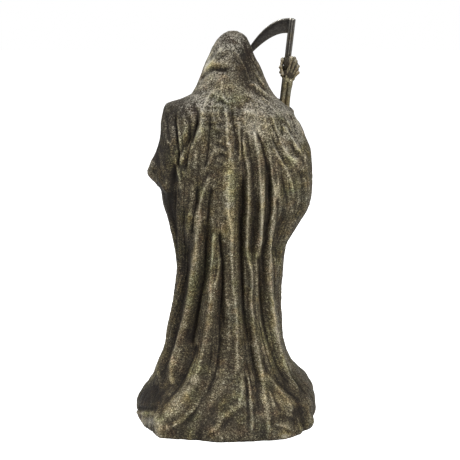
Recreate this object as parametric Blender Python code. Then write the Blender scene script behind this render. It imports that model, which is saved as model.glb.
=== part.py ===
"""A hooded reaper figure cast in bronze-coloured resin, holding a scythe.

The robed figure is one casting: robe, hood, sleeves, skull, bony hands and the hem that it stands on.
The scythe is a second casting that passes through the raised fist and stands in a socket in the hem.
+Z is up, the figure faces -Y and its right hand is at -X. The origin is on the flat underside.
"""

import math
from dataclasses import dataclass

import bmesh
import bpy
import numpy as np
from mathutils import Matrix, Vector

# Driving sizes, in metres. The carving is given in parts of the figure's height.
FIGURE_HEIGHT = 0.488
PARTS_TALL = 488
PART = FIGURE_HEIGHT / PARTS_TALL

SNATH_RADIUS = 0.0042
SNATH_SIDES = 8
SNATH_TOP = Vector((-77.8, -40.0, 500.5)) * PART
SNATH_FOOT = Vector((-27.0, -86.0, 14.0)) * PART
GRIP_HEIGHT = 437.5 * PART
BLADE_YAW = math.radians(28)
BLADE_SPINE_THICKNESS = 0.0034
BLADE_EDGE_THICKNESS = 0.0012
CLEARANCE = 0.0003

BONE_SIDES = 6
FINGER_RADIUS = 2.3 * PART
KNOB = 1.22
SHAFT = 0.80
CUFF_WALL = 3.5 * PART
CUFF_DEPTH = 24.0 * PART
CUFF_CORNER = 1.1
CUFF_ROUND = 1.7
# How far the cuff's wall is drawn in beside its outer, inner, upper and lower reach.
CUFF_THICKEN = (1.6, 1.0, 1.5, 1.5)
CUFF_FLOOR_SHARE = 0.58
CUFF_SIDES = 18
RAISED_CUFF_SIDES = 12

BACK_COLUMNS = 26
FRONT_COLUMNS = 12
SIDE_BEARING = math.radians(100)
RELIEF = 1.45
SLOPE_STEP = 4.0
STEEPEST_SLOPE = 6.0
HEM_TOP = 12
# How square the sections are, by height: 2 is an ellipse.
FULLNESS = ((0, 2.75), (20, 2.7), (70, 2.25), (380, 2.3), (430, 2.05), (487, 2.0))
ARC_SAMPLES = 720

RESIN_COLOUR = (0.105, 0.088, 0.062, 1.0)
SCYTHE_COLOUR = (0.070, 0.062, 0.050, 1.0)

# The robe's sections: height, then its reach to the figure's left, right, back and front, in parts.
SECTIONS = (
    (0, 116, 108, 109, 97),
    (6, 118, 111, 111, 99),
    (14, 117, 111, 109, 97),
    (24, 114, 109, 102, 91),
    (36, 107, 102, 92, 83),
    (50, 96, 89, 81, 74),
    (66, 90, 79, 72, 66),
    (98, 80, 68, 58, 57),
    (122, 78, 67, 53, 52),
    (146, 74, 65, 50, 49),
    (193, 69, 67, 47, 46),
    (217, 71, 69, 47, 46),
    (247, 77, 85, 47, 47),
    (278, 85, 101, 49, 48),
    (300, 86, 103, 51, 49),
    (340, 87, 100, 53, 48),
    (360, 88, 92, 53, 46),
    (390, 86, 74, 49, 44),
    (398, 83, 65, 47, 43),
    (404, 68, 57, 46, 42),
    (411, 51, 50, 45, 42),
    (428, 42, 40, 42, 44),
    (443, 37, 34, 39, 46),
    (458, 31, 26, 34, 44),
    (471, 24, 21, 27, 34),
    (479, 18, 17, 19, 24),
    (484, 12, 12, 13, 16),
    (487, 6, 6, 6, 8),
)
CROWN_HEIGHT = 488
HOOD_LEAN = (-4.0, -12.0)
LEAN_FROM, LEAN_TO = 300, 440
ROW_GAP = 16
ROWS = (
    *(0, 6, 14, 24, 36, 50, 66),
    *np.arange(82, 340, ROW_GAP),
    *(351, 365, 378, 390, 397, 402, 409, 418, 428, 438, 448, 458, 467, 475, 481, 486),
)


@dataclass(frozen=True)
class Fold:
    """A ridge or a valley. Its path runs from the top down, as heights and bearings from the back centre."""

    path: tuple
    depth: float
    width: float
    low_width: float = 0.0
    low_depth: float = 0.0
    fade: float = 24.0


# Heights are in parts and bearings in degrees, towards the figure's left. A valley's depth is negative.
BACK_FOLDS = (
    Fold(((395, 4), (340, 1), (245, 1), (170, -1), (100, -5)), 3.5, 9, 12),
    Fold(((335, -5), (290, -5), (213, -8), (170, -10), (127, -13), (92, -15), (34, -13)),
         -8.0, 6, 8, -5.0),
    Fold(((350, -10), (322, -10), (262, -11), (212, -15)), 3.0, 3.5, 4.5),
    Fold(((335, -14), (263, -16), (236, -18), (205, -21)), -6.0, 6, 6),
    Fold(((330, -19), (298, -20), (250, -24), (218, -31)), 4.5, 4.5, 5),
    Fold(((362, -24), (332, -25), (292, -25), (254, -28), (218, -35), (176, -37), (134, -39), (98, -43)),
         -7.5, 4, 6),
    Fold(((322, -30), (287, -29), (245, -35), (210, -44), (176, -48), (122, -58), (93, -63), (54, -78)),
         6.0, 5, 9),
    Fold(((285, -37), (235, -47), (200, -62)), -7.0, 7, 8),
    Fold(((120, -22), (107, -24), (73, -30), (49, -38), (26, -58), (0, -66)), 4.5, 5, 9, 4.5),
    Fold(((60, -24), (30, -32), (0, -34)), 5.0, 10, 13),
    Fold(((105, -28), (68, -36), (46, -47), (10, -52), (0, -52)), -4.0, 5, 8, -6.0),
    Fold(((250, 6), (195, 6), (170, 7), (150, 6), (117, 4)), -5.0, 6, 6),
    Fold(((200, 15), (170, 16), (137, 17), (112, 18), (88, 24), (59, 27), (41, 32), (10, 38), (0, 38)),
         6.0, 6, 15, 8.0),
    Fold(((268, 21), (229, 23), (195, 27), (170, 30), (137, 31), (112, 34), (88, 36), (63, 40), (40, 47)),
         -7.0, 6, 8, -9.0),
    Fold(((285, 26), (263, 27), (229, 31), (185, 39), (166, 41), (132, 45), (107, 50), (82, 52), (60, 52)),
         6.0, 6, 8),
    Fold(((250, 40), (224, 44), (185, 51), (156, 52), (132, 53), (107, 59), (83, 66), (60, 66), (20, 62)),
         -7.0, 5, 8, -9.0),
    Fold(((318, 53), (293, 60), (259, 66), (205, 66), (171, 63), (146, 68), (98, 76), (60, 84), (0, 88)),
         5.0, 5, 12),
    Fold(((300, 80), (260, 82), (200, 84), (120, 92), (60, 100), (0, 104)), -6.0, 6, 10, -7.0),
    Fold(((409, 60), (400, 34), (390, 26), (377, 27), (366, 31), (356, 36), (337, 43), (318, 49), (300, 49)),
         -4.5, 3.5, 4.5, fade=12),
    Fold(((405, 40), (396, 24), (376, 21), (361, 26), (346, 35), (326, 43)), 3.0, 4, 4.5, fade=12),
    Fold(((396, 55), (380, 50), (366, 45), (330, 50)), -3.0, 4, 4),
    Fold(((365, 88), (341, 78), (322, 72), (306, 73), (250, 76)), -6.5, 4, 9, fade=14),
    Fold(((474, -15), (455, -34), (437, -41), (420, -47), (405, -57)), 1.6, 2.6, 3.2, fade=14),
    Fold(((474, -24), (455, -43), (437, -50), (420, -56), (407, -66)), -2.2, 3.6, 4.0, fade=14),
    Fold(((432, -24), (420, -38), (410, -50)), 1.6, 2.5, 3.0, fade=10),
    Fold(((388, 8), (366, 9), (345, 9)), -2.5, 5, 5),
    Fold(((385, -4), (357, -5), (330, -5)), 1.6, 3, 3),
    Fold(((400, -40), (378, -41), (358, -38)), -1.8, 4, 4),
    Fold(((362, -36), (342, -42), (318, -46)), 1.8, 4, 4),
    Fold(((362, -52), (340, -62), (310, -66)), 1.8, 4, 4),
    Fold(((60, 2), (24, 9), (0, 14)), -3.0, 5, 9, -5.0),
)
FRONT_FOLD_COUNT = 6
FRONT_FOLD_FROM, FRONT_FOLD_TO = 122, 238
FRONT_FOLD_DEPTH = 5.0
FRONT_FOLD_WIDTH = 6.5

# A swag runs across: its path is bearing and height, in the order of the bearings.
SWAGS = (
    Fold(((30, 444), (50, 440), (70, 430), (92, 420)), -2.6, 3.5, fade=14),
    Fold(((112, 404), (145, 390), (178, 380), (212, 390), (246, 404)), 4.0, 7.0, fade=30),
    Fold(((116, 388), (148, 370), (178, 356), (210, 370), (242, 388)), -4.5, 7.0, fade=30),
    Fold(((120, 372), (150, 350), (178, 334), (208, 350), (238, 372)), 4.0, 7.0, fade=30),
)

# The left upper sleeve swells over the robe: height and bearing of its seam, then height and swell beside the
# seam and at the figure's side. It is full between two bearings and fades out over a spread at each.
ARM_SEAM = ((290, 52), (318, 49), (337, 43), (356, 36), (366, 31), (377, 27), (390, 26), (400, 34), (409, 60))
ARM_NEAR = ((290, 0), (296, 3.5), (303, 6.5), (320, 6.5), (350, 6), (370, 5), (390, 3), (405, 0))
ARM_SIDE = ((288, 0), (299, 9), (305, 15), (312, 17.5), (325, 13.5), (336, 8), (348, 3), (362, 0))
ARM_SEAM_WIDTH = 8.0
ARM_NEAR_END, ARM_NEAR_SPREAD = 62, 34
ARM_SIDE_START, ARM_SIDE_RISE = 55, 30
ARM_SIDE_END, ARM_SIDE_SPREAD = 118, 28


def smoothstep(value):
    value = np.clip(value, 0.0, 1.0)
    return value * value * (3 - 2 * value)


def curve_through(at, stations, values):
    """A cubic through the stations, with slopes that never overshoot."""
    stations = np.asarray(stations, float)
    values = np.asarray(values, float)
    rise = np.diff(values) / np.diff(stations)
    same_way = rise[:-1] * rise[1:] > 0
    inner = np.where(same_way, 2 * rise[:-1] * rise[1:] / np.where(same_way, rise[:-1] + rise[1:], 1.0), 0.0)
    slopes = np.concatenate(([rise[0]], inner, [rise[-1]]))
    at = np.clip(at, stations[0], stations[-1])
    k = np.clip(np.searchsorted(stations, at, side="right") - 1, 0, len(stations) - 2)
    span = stations[k + 1] - stations[k]
    t = (at - stations[k]) / span
    return (
        (2 * t**3 - 3 * t**2 + 1) * values[k]
        + (t**3 - 2 * t**2 + t) * span * slopes[k]
        + (3 * t**2 - 2 * t**3) * values[k + 1]
        + (t**3 - t**2) * span * slopes[k + 1]
    )


class Robe:
    """The robe and hood as sections stacked up the figure, with folds raised and sunk from them."""

    def __init__(self, back_columns, front_columns, row_gap, coarseness=1.15):
        self.back_columns = back_columns
        self.front_columns = front_columns
        self.row_gap = row_gap
        self.coarseness = coarseness
        self.table = np.array(SECTIONS, float)
        self.dense = np.linspace(-math.pi, math.pi, 2 * ARC_SAMPLES + 1)
        self.folds = BACK_FOLDS + tuple(front_folds())

    def axis(self, height):
        """Where the section's middle stands: the head leans forward and a little to its right."""
        lean = smoothstep((height - LEAN_FROM) / (LEAN_TO - LEAN_FROM))
        return HOOD_LEAN[0] * lean, HOOD_LEAN[1] * lean

    def outline(self, height, bearings):
        """Points of the plain section at a height, without folds, in parts."""
        left, right, back, front = (
            curve_through(height, self.table[:, 0], self.table[:, k]) for k in (1, 2, 3, 4)
        )
        across, along = np.sin(bearings), np.cos(bearings)
        middle_x, middle_y = self.axis(height)
        power = 2 / curve_through(height, *np.array(FULLNESS, float).T)
        x = middle_x + np.where(across > 0, left, right) * np.sign(across) * np.abs(across) ** power
        y = middle_y + np.where(along > 0, back, front) * np.sign(along) * np.abs(along) ** power
        return np.stack((x, y), axis=1)

    def columns(self, arc, side, front):
        """Arc lengths of the columns, closer together on the back than on the front."""
        right_front = np.linspace(arc[0], arc[side[0]], front, endpoint=False)
        right_back = np.linspace(arc[side[0]], 0.0, self.back_columns, endpoint=False)
        left_back = np.linspace(0.0, arc[side[1]], self.back_columns, endpoint=False)
        left_front = np.linspace(arc[side[1]], arc[-1], front, endpoint=False)
        return np.concatenate((right_front, right_back, left_back, left_front))

    def ring(self, height):
        """One ring of the folded robe at a height, as points in metres."""
        plain = self.outline(height, self.dense)
        arc = np.concatenate(([0.0], np.cumsum(np.linalg.norm(np.diff(plain, axis=0), axis=1))))
        around = arc[-1]
        arc -= arc[ARC_SAMPLES]
        side = [int(np.searchsorted(self.dense, sign * SIDE_BEARING)) for sign in (-1, 1)]
        at = self.columns(arc, side, self.front_columns)
        points = np.stack([np.interp(at, arc, plain[:, k]) for k in (0, 1)], axis=1)
        tangent = np.roll(points, -1, axis=0) - np.roll(points, 1, axis=0)
        normal = np.stack((-tangent[:, 1], tangent[:, 0]), axis=1)
        normal /= np.linalg.norm(normal, axis=1, keepdims=True)
        bearings = np.interp(at, arc, self.dense)
        rise = self.relief(height, at, arc, around, bearings)
        points = points + normal * rise[:, None]
        return [Vector((x, y, height)) * PART for x, y in points]

    def relief(self, height, at, arc, around, bearings):
        """How far the folds push the surface out, in parts."""
        rise = np.zeros(len(at))
        for fold in self.folds:
            rise += self.fold_rise(fold, height, at, arc, around)
        for swag in SWAGS:
            rise += self.swag_rise(swag, height, bearings)
        return RELIEF * rise + arm_rise(height, np.degrees(bearings))

    def fold_rise(self, fold, height, at, arc, around):
        """A fold that runs down the figure: its share of the relief along one ring."""
        heights = np.array([p[0] for p in fold.path], float)
        turns = np.radians([p[1] for p in fold.path])
        top, low = heights[0], heights[-1]
        if not low <= height <= top:
            return 0.0
        down = (top - height) / (top - low)

        def place(level):
            turn = np.interp(level, heights[::-1], turns[::-1])
            turn = (turn + math.pi) % (2 * math.pi) - math.pi
            return float(np.interp(turn, self.dense, arc))

        centre = place(height)
        slope = (place(min(height + SLOPE_STEP, top)) - place(max(height - SLOPE_STEP, low))) / (2 * SLOPE_STEP)
        across = (at - centre + around / 2) % around - around / 2
        across /= math.sqrt(1 + min(slope * slope, STEEPEST_SLOPE))
        wanted = fold.width + ((fold.low_width or fold.width) - fold.width) * down
        width = math.hypot(wanted, self.coarseness * around / len(at))
        depth = fold.depth + ((fold.low_depth or fold.depth) - fold.depth) * down
        depth *= wanted / width
        taper = smoothstep((top - height) / fold.fade)
        if low > HEM_TOP:
            taper = taper * smoothstep((height - low) / fold.fade)
        return depth * taper * fold_profile(across / width, fold.depth)

    def swag_rise(self, swag, height, bearings):
        """A fold that runs across the figure, by how far each column is above or below it."""
        turns = np.radians([p[0] for p in swag.path])
        heights = np.array([p[1] for p in swag.path], float)
        around = np.where(bearings < turns[0] - 0.6, bearings + 2 * math.pi, bearings)
        line = curve_through(around, turns, heights)
        spread = math.radians(swag.fade)
        taper = smoothstep((around - turns[0]) / spread) * smoothstep((turns[-1] - around) / spread)
        width = math.hypot(swag.width, self.coarseness * self.row_gap)
        return swag.depth * swag.width / width * taper * fold_profile((height - line) / width, swag.depth)


def arm_rise(height, degrees):
    """How far the left upper sleeve stands out from the robe along one ring, in parts."""
    seam = np.interp(height, *np.array(ARM_SEAM, float).T)
    near = curve_through(height, *np.array(ARM_NEAR, float).T)
    side = curve_through(height, *np.array(ARM_SIDE, float).T)
    beside = smoothstep((degrees - seam) / ARM_SEAM_WIDTH)
    beside = beside * (1 - smoothstep((degrees - ARM_NEAR_END) / ARM_NEAR_SPREAD))
    outside = smoothstep((degrees - ARM_SIDE_START) / ARM_SIDE_RISE)
    outside = outside * (1 - smoothstep((degrees - ARM_SIDE_END) / ARM_SIDE_SPREAD))
    return near * beside + side * outside


def fold_profile(across, depth):
    """Ridges are round, valleys are a little sharper."""
    if depth > 0:
        return np.exp(-(across**2))
    return np.exp(-((across**2 + 0.04) ** 0.62) + 0.04**0.62)


def front_folds():
    """Plain hanging folds over the front, which the arms partly hide."""
    gap = (FRONT_FOLD_TO - FRONT_FOLD_FROM) / (FRONT_FOLD_COUNT - 1)
    for k in range(FRONT_FOLD_COUNT):
        bearing = FRONT_FOLD_FROM + gap * k
        sway = 4.0 * math.sin(2.1 * k)
        top = 262 + 34 * math.cos(1.7 * k)
        path = ((top, bearing + sway), (150, bearing), (60, bearing - 0.6 * sway), (0, bearing - sway))
        yield Fold(path, FRONT_FOLD_DEPTH, FRONT_FOLD_WIDTH, 1.5 * FRONT_FOLD_WIDTH, 1.3 * FRONT_FOLD_DEPTH)
        valley = bearing + gap / 2
        if k < FRONT_FOLD_COUNT - 1:
            path = ((top - 30, valley), (150, valley + 0.5 * sway), (0, valley))
            yield Fold(path, -FRONT_FOLD_DEPTH, 0.8 * FRONT_FOLD_WIDTH, FRONT_FOLD_WIDTH)


def mesh_object(name, bm, collection):
    """Makes a closed bmesh a named object of triangles that point out."""
    bmesh.ops.recalc_face_normals(bm, faces=bm.faces)
    bmesh.ops.triangulate(bm, faces=bm.faces)
    mesh = bpy.data.meshes.new(name)
    bm.to_mesh(mesh)
    bm.free()
    obj = bpy.data.objects.new(name, mesh)
    collection.objects.link(obj)
    return obj


def loft(name, rings, collection):
    """Skins rings that hold the same number of points. A last ring of one point is a pole."""
    bm = bmesh.new()
    rows = [[bm.verts.new(p) for p in ring] for ring in rings]
    count = len(rows[0])
    for low, high in zip(rows, rows[1:]):
        for i in range(count):
            j = (i + 1) % count
            if len(high) == 1:
                bm.faces.new((low[i], low[j], high[0]))
            else:
                bm.faces.new((low[i], low[j], high[j], high[i]))
    bm.faces.new(rows[0])
    if len(rows[-1]) > 1:
        bm.faces.new(rows[-1])
    return mesh_object(name, bm, collection)


def ring(centre, wide, tall, count, fullness=2.0):
    """A closed ring about a centre, spanned by two half-width vectors."""
    points = []
    for k in range(count):
        turn = 2 * math.pi * k / count
        c, s = math.cos(turn), math.sin(turn)
        a = math.copysign(abs(c) ** (2 / fullness), c)
        b = math.copysign(abs(s) ** (2 / fullness), s)
        points.append(Vector(centre) + Vector(wide) * a + Vector(tall) * b)
    return points


def tube(name, path, radii, sides, collection):
    """A round bar through points, with a radius at each, for bones."""
    path = [Vector(p) for p in path]
    rings = []
    side = None
    for k, point in enumerate(path):
        ahead = (path[min(k + 1, len(path) - 1)] - path[max(k - 1, 0)]).normalized()
        start = side if side is not None else ahead.orthogonal()
        side = (start - ahead * start.dot(ahead)).normalized()
        rings.append(ring(point, side * radii[k], ahead.cross(side) * radii[k], sides))
    return loft(name, rings, collection)


def bone_chain(name, joints, radius, collection):
    """Bones end to end: thick at each joint and thin between."""
    path, radii = [joints[0]], [radius]
    for a, b in zip(joints, joints[1:]):
        a, b = Vector(a), Vector(b)
        path += [a.lerp(b, 0.5), b]
        radii += [radius * SHAFT, radius * KNOB]
    radii[-1] = radius * 0.75
    return tube(name, path, radii, BONE_SIDES, collection)


def robe(collection):
    """The robe and hood, from the flat underside to the crown."""
    form = Robe(BACK_COLUMNS, FRONT_COLUMNS, ROW_GAP)
    rings = [form.ring(height) for height in ROWS]
    middle_x, middle_y = form.axis(CROWN_HEIGHT)
    rings.append([Vector((middle_x, middle_y, CROWN_HEIGHT)) * PART])
    return loft("robe", rings, collection)


def cuff_ring(centre, outer, inner, up, down, count):
    """A ring of a bell sleeve in parts: drawn to a corner at its outer side and rounder towards the body."""
    points = []
    for k in range(count):
        turn = 2 * math.pi * k / count
        c, s = math.cos(turn), math.sin(turn)
        power = 2 / (CUFF_CORNER if c > 0 else CUFF_ROUND)
        x = math.copysign(abs(c) ** power, c) * (outer if c > 0 else inner)
        z = math.copysign(abs(s) ** power, s) * (up if s > 0 else down)
        points.append((Vector(centre) + Vector((x, 0.18 * z, z))) * PART)
    return points


def left_sleeve(collection):
    """The bell sleeve of the lowered arm, open at the front and drawn to a point at its outer side."""
    stations = (
        ((58, 12, 344), 12, 12, 22, 22),
        ((66, -14, 338), 20, 22, 34, 32),
        ((74, -40, 324), 23, 28, 42, 38),
        ((78, -60, 308), 26, 31, 46, 38),
        ((80, -74, 303), 27.5, 32, 47, 36),
    )
    rings = [cuff_ring(centre, *sizes, CUFF_SIDES) for centre, *sizes in stations]
    centre, *sizes = stations[-1]
    wall = CUFF_WALL / PART
    inner = (size - wall * grow for size, grow in zip(sizes, CUFF_THICKEN))
    rings.append(cuff_ring(centre, *inner, CUFF_SIDES))
    deep = Vector(centre) + Vector((-5, CUFF_DEPTH / PART, 8))
    rings.append(cuff_ring(deep, *(CUFF_FLOOR_SHARE * size for size in sizes), CUFF_SIDES))
    return loft("left_sleeve", rings, collection)


def right_sleeve(collection):
    """The sleeve that has slid down the raised forearm, with its small open cuff."""
    count = RAISED_CUFF_SIDES
    stations = (
        ((-78, -20, 322), 20, 20, 2),
        ((-74, -27, 352), 18, 18, 4),
        ((-69, -32, 378), 14.5, 14, 6),
        ((-67, -34, 395), 11.5, 12, 7),
    )
    rings = [
        ring(Vector(c) * PART, (w * PART, 0, tilt * PART), (0, d * PART, -0.2 * d * PART), count)
        for c, w, d, tilt in stations
    ]
    centre, wide, deep, tilt = stations[-1]
    rim = Vector(centre) * PART
    wall = 0.7 * CUFF_WALL
    inner = wide * PART - wall
    rings.append(ring(rim, (inner, 0, tilt * PART), (0, inner, -0.2 * inner), count))
    floor = rim + Vector((-1, 2, -13)) * PART
    rings.append(ring(floor, (0.8 * inner, 0, 0.5 * tilt * PART), (0, 0.8 * inner, 0), count))
    return loft("right_sleeve", rings, collection)


class Grip:
    """Places points around the snath, by turn from the back, distance from its axis and height."""

    def __init__(self):
        self.up = (SNATH_TOP - SNATH_FOOT).normalized()
        share = (GRIP_HEIGHT - SNATH_FOOT.z) / (SNATH_TOP.z - SNATH_FOOT.z)
        self.centre = SNATH_FOOT.lerp(SNATH_TOP, share)
        back = Vector((0, 1, 0))
        self.back = (back - self.up * back.dot(self.up)).normalized()
        self.right = self.up.cross(self.back).normalized()
        if self.right.x > 0:
            self.right = -self.right

    def point(self, turn, reach, lift):
        angle = math.radians(turn)
        out = self.back * math.cos(angle) + self.right * math.sin(angle)
        return self.centre + out * reach + self.up * lift


def right_hand(collection):
    """The bony fist of the raised arm, closed around the snath."""
    grip = Grip()
    hold = SNATH_RADIUS + FINGER_RADIUS
    wrist = Vector((-72.4, -35.5, 423.0)) * PART
    knuckles = ((-79.6, -34.0, 453.5), (-84.0, -34.5, 448.0), (-86.6, -35.5, 440.6), (-85.4, -36.0, 432.4))
    pieces = []
    for k, (knuckle, lift) in enumerate(zip(knuckles, (12.0, 6.6, 1.0, -4.6))):
        lift *= PART
        joints = (
            wrist + Vector(((1.5 - k) * 1.7, 1.0, 1.0 - 0.8 * k)) * PART,
            Vector(knuckle) * PART,
            grip.point(122, hold + 3.4 * PART, lift + 1.4 * PART),
            grip.point(196, hold + 0.6 * PART, lift),
            grip.point(256, hold + 0.1 * PART, lift - 0.8 * PART),
        )
        pieces.append(bone_chain(f"right_finger_{k + 1}", joints, FINGER_RADIUS, collection))
    thumb = ((-69.4, -35.5, 423.5), (-66.2, -38.0, 431.0), (-64.2, -42.0, 440.5), (-66.2, -45.0, 449.0))
    pieces.append(bone_chain("right_thumb", [Vector(p) * PART for p in thumb], 1.1 * FINGER_RADIUS, collection))
    flesh = (
        ("palm", (-74.4, -37.5, 430.0), (7.0, 4.4, 9.5)),
        ("hand", (-79.4, -38.5, 441.0), (6.6, 4.4, 10.5)),
        ("wrist", (-72.6, -36.5, 420.5), (6.0, 4.4, 6.5)),
    )
    for name, middle, radii in flesh:
        pieces.append(ring_ball(f"right_{name}", Vector(middle) * PART, radii, collection))
    for name, x_top, x_low in (("radius", -69.8, -64.0), ("ulna", -75.4, -71.0)):
        top, low = Vector((x_top, -36.0, 424.0)) * PART, Vector((x_low, -31.0, 384.0)) * PART
        pieces.append(bone_chain(f"right_{name}", (low, top), 1.6 * FINGER_RADIUS, collection))
    return pieces


def left_hand(collection):
    """The bony hand of the lowered arm, reaching forward out of its cuff with the fingers bent."""
    wrist = Vector((78, -76, 318)) * PART
    pieces = []
    for k, fan in enumerate((-6.6, -2.2, 2.2, 6.4)):
        start = wrist + Vector((0.45 * fan, 0, 0)) * PART
        knuckle = wrist + Vector((fan, -14, 3.4 - 0.04 * fan * fan)) * PART
        joints = (
            start,
            knuckle,
            knuckle + Vector((0.25 * fan, -10.0 + 0.6 * abs(fan - 2), 1.6)) * PART,
            knuckle + Vector((0.30 * fan, -16.5 + 0.6 * abs(fan - 2), -2.6)) * PART,
            knuckle + Vector((0.30 * fan, -18.5 + 0.6 * abs(fan - 2), -8.4)) * PART,
        )
        pieces.append(bone_chain(f"left_finger_{k + 1}", joints, FINGER_RADIUS, collection))
    thumb = (wrist, wrist + Vector((-8.0, -8, -3)) * PART, wrist + Vector((-11.0, -17, -4)) * PART,
             wrist + Vector((-9.0, -24, -6)) * PART)
    pieces.append(bone_chain("left_thumb", thumb, 1.1 * FINGER_RADIUS, collection))
    pieces.append(ring_ball("left_palm", wrist + Vector((0, -6, 0.5)) * PART, (6.4, 7.5, 3.8), collection))
    for name, shift in (("radius", -3.4), ("ulna", 3.6)):
        low = Vector((75 + shift, -42, 321)) * PART
        top = wrist + Vector((0.8 * shift, -3.0, 0)) * PART
        pieces.append(bone_chain(f"left_{name}", (low, top), 1.25 * FINGER_RADIUS, collection))
    return pieces


def ring_ball(name, centre, radii, collection):
    """A ball with its own radius along each axis, in parts."""
    bm = bmesh.new()
    bmesh.ops.create_icosphere(bm, subdivisions=1, radius=1.0)
    for v in bm.verts:
        v.co = Vector(centre) + Vector([v.co[k] * radii[k] * PART for k in range(3)])
    return mesh_object(name, bm, collection)


# The skull: its middle, its half sizes, and the dents and swellings of the face, in parts from its middle.
SKULL_MIDDLE = (-4.0, -28.0, 440.0)
SKULL_HALF = (17.0, 18.0, 22.5)
SKULL_ROUND, SKULL_STACK = 20, 14
JAW_FROM, JAW_TO = -3.0, -19.0
JAW_NARROWING = 0.36
JAW_SQUARE = 3.4
EYE_SOCKET = ((6.8, -17.0, 2.0), (4.5, 7.0, 4.1))
NOSE_TOP, NOSE_FOOT, NOSE_HALF_WIDTH = -0.5, -7.5, 2.8
MOUTH_LEVEL, MOUTH_HALF_WIDTH, MOUTH_HALF_HEIGHT = -12.8, 5.6, 0.8
FACE_FRONT, FACE_CUT_BACK = -24.0, -13.5


@dataclass(frozen=True)
class Feature:
    """A dent or a swelling of both sides of the face: where it is, how wide and tall, and how deep."""

    across: float
    up: float
    wide: float
    tall: float
    depth: float


SKULL_FEATURES = (
    Feature(7.0, 9.0, 6.0, 3.4, 1.8),
    Feature(11.0, -4.4, 4.0, 3.4, 2.0),
    Feature(12.5, -12.0, 4.0, 5.0, -3.0),
)


def skull_rise(across, up):
    """How far the face stands out at a place on it, in parts."""
    rise = 0.0
    for f in SKULL_FEATURES:
        rise += f.depth * math.exp(-(((abs(across) - f.across) / f.wide) ** 2 + ((up - f.up) / f.tall) ** 2))
    return rise


def skull(collection):
    """A plain skull: a ball drawn in at the jaw, with its sockets, nose and mouth cut into it."""
    bm = bmesh.new()
    bmesh.ops.create_uvsphere(bm, u_segments=SKULL_ROUND, v_segments=SKULL_STACK, radius=1.0)
    for v in bm.verts:
        x, y, z = (v.co[k] * SKULL_HALF[k] for k in range(3))
        lower = float(smoothstep((JAW_FROM - z) / (JAW_FROM - JAW_TO)))
        # The chin is squared off, so that the jaw keeps its width and depth to the bottom.
        round_here = max(math.sqrt(max(1 - v.co.z**2, 0.0)), 0.3)
        squared = 1 + lower * ((1 - min(abs(v.co.z), 1.0) ** JAW_SQUARE) ** (1 / JAW_SQUARE) / round_here - 1)
        x *= squared * (1 - JAW_NARROWING * lower)
        y *= squared
        if v.co.y < 0:
            y -= skull_rise(x, z) * math.sqrt(-v.co.y)
        v.co = (Vector(SKULL_MIDDLE) + Vector((x, y, z))) * PART
    return mesh_object("skull", bm, collection)


def face_prism(name, corners, collection):
    """A cutter for the face: an outline seen from the front, in parts from the skull's middle."""
    middle = Vector(SKULL_MIDDLE)
    rings = [[(middle + Vector((x, y, z))) * PART for x, z in corners] for y in (FACE_FRONT, FACE_CUT_BACK)]
    return loft(name, rings, collection)


def face_cutters(collection):
    """The eye sockets, the nose opening and the mouth line."""
    (across, along, up), radii = EYE_SOCKET
    for side in (-1, 1):
        centre = (Vector(SKULL_MIDDLE) + Vector((side * across, along, up))) * PART
        ring_ball(f"socket_{side}", centre, radii, collection)
    nose = ((-NOSE_HALF_WIDTH, NOSE_FOOT), (NOSE_HALF_WIDTH, NOSE_FOOT), (0.0, NOSE_TOP))
    face_prism("nose", nose, collection)
    low, high = MOUTH_LEVEL - MOUTH_HALF_HEIGHT, MOUTH_LEVEL + MOUTH_HALF_HEIGHT
    wide = MOUTH_HALF_WIDTH
    face_prism("mouth", ((-wide, low), (wide, low), (wide, high), (-wide, high)), collection)


# The hollow of the hood, as a ball pushed into its front.
HOLLOW_MIDDLE = (-4.0, -53.0, 437.0)
HOLLOW_HALF = (23.0, 31.0, 33.0)


def hood_hollow(collection):
    bm = bmesh.new()
    bmesh.ops.create_uvsphere(bm, u_segments=22, v_segments=12, radius=1.0)
    for v in bm.verts:
        v.co = (Vector(HOLLOW_MIDDLE) + Vector([v.co[k] * HOLLOW_HALF[k] for k in range(3)])) * PART
    return mesh_object("hood_hollow", bm, collection)


def snath_bar(name, radius, foot, top, collection):
    """The straight eight-sided pole, or the clearance around it."""
    up = (top - foot).normalized()
    side = Vector((0, 1, 0)) - up * up.y
    side.normalize()
    bm = bmesh.new()
    bmesh.ops.create_cone(
        bm, cap_ends=True, segments=SNATH_SIDES, radius1=radius, radius2=radius, depth=(top - foot).length
    )
    turn = up.to_track_quat("Z", "Y")
    for v in bm.verts:
        v.co = (foot + top) / 2 + turn @ v.co
    return mesh_object(name, bm, collection)


# The blade's back and its cutting edge, each a curve of three control points: out along the blade and up.
BLADE_SPINE = ((-1.5, 0.8), (40.0, 6.0), (79.0, -68.0))
BLADE_EDGE = ((-1.5, -19.0), (29.0, -9.0), (79.0, -68.0))
BLADE_SECTIONS = 14


def bezier(points, t):
    (ax, ay), (bx, by), (cx, cy) = points
    u = 1 - t
    return (u * u * ax + 2 * u * t * bx + t * t * cx, u * u * ay + 2 * u * t * by + t * t * cy)


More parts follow.
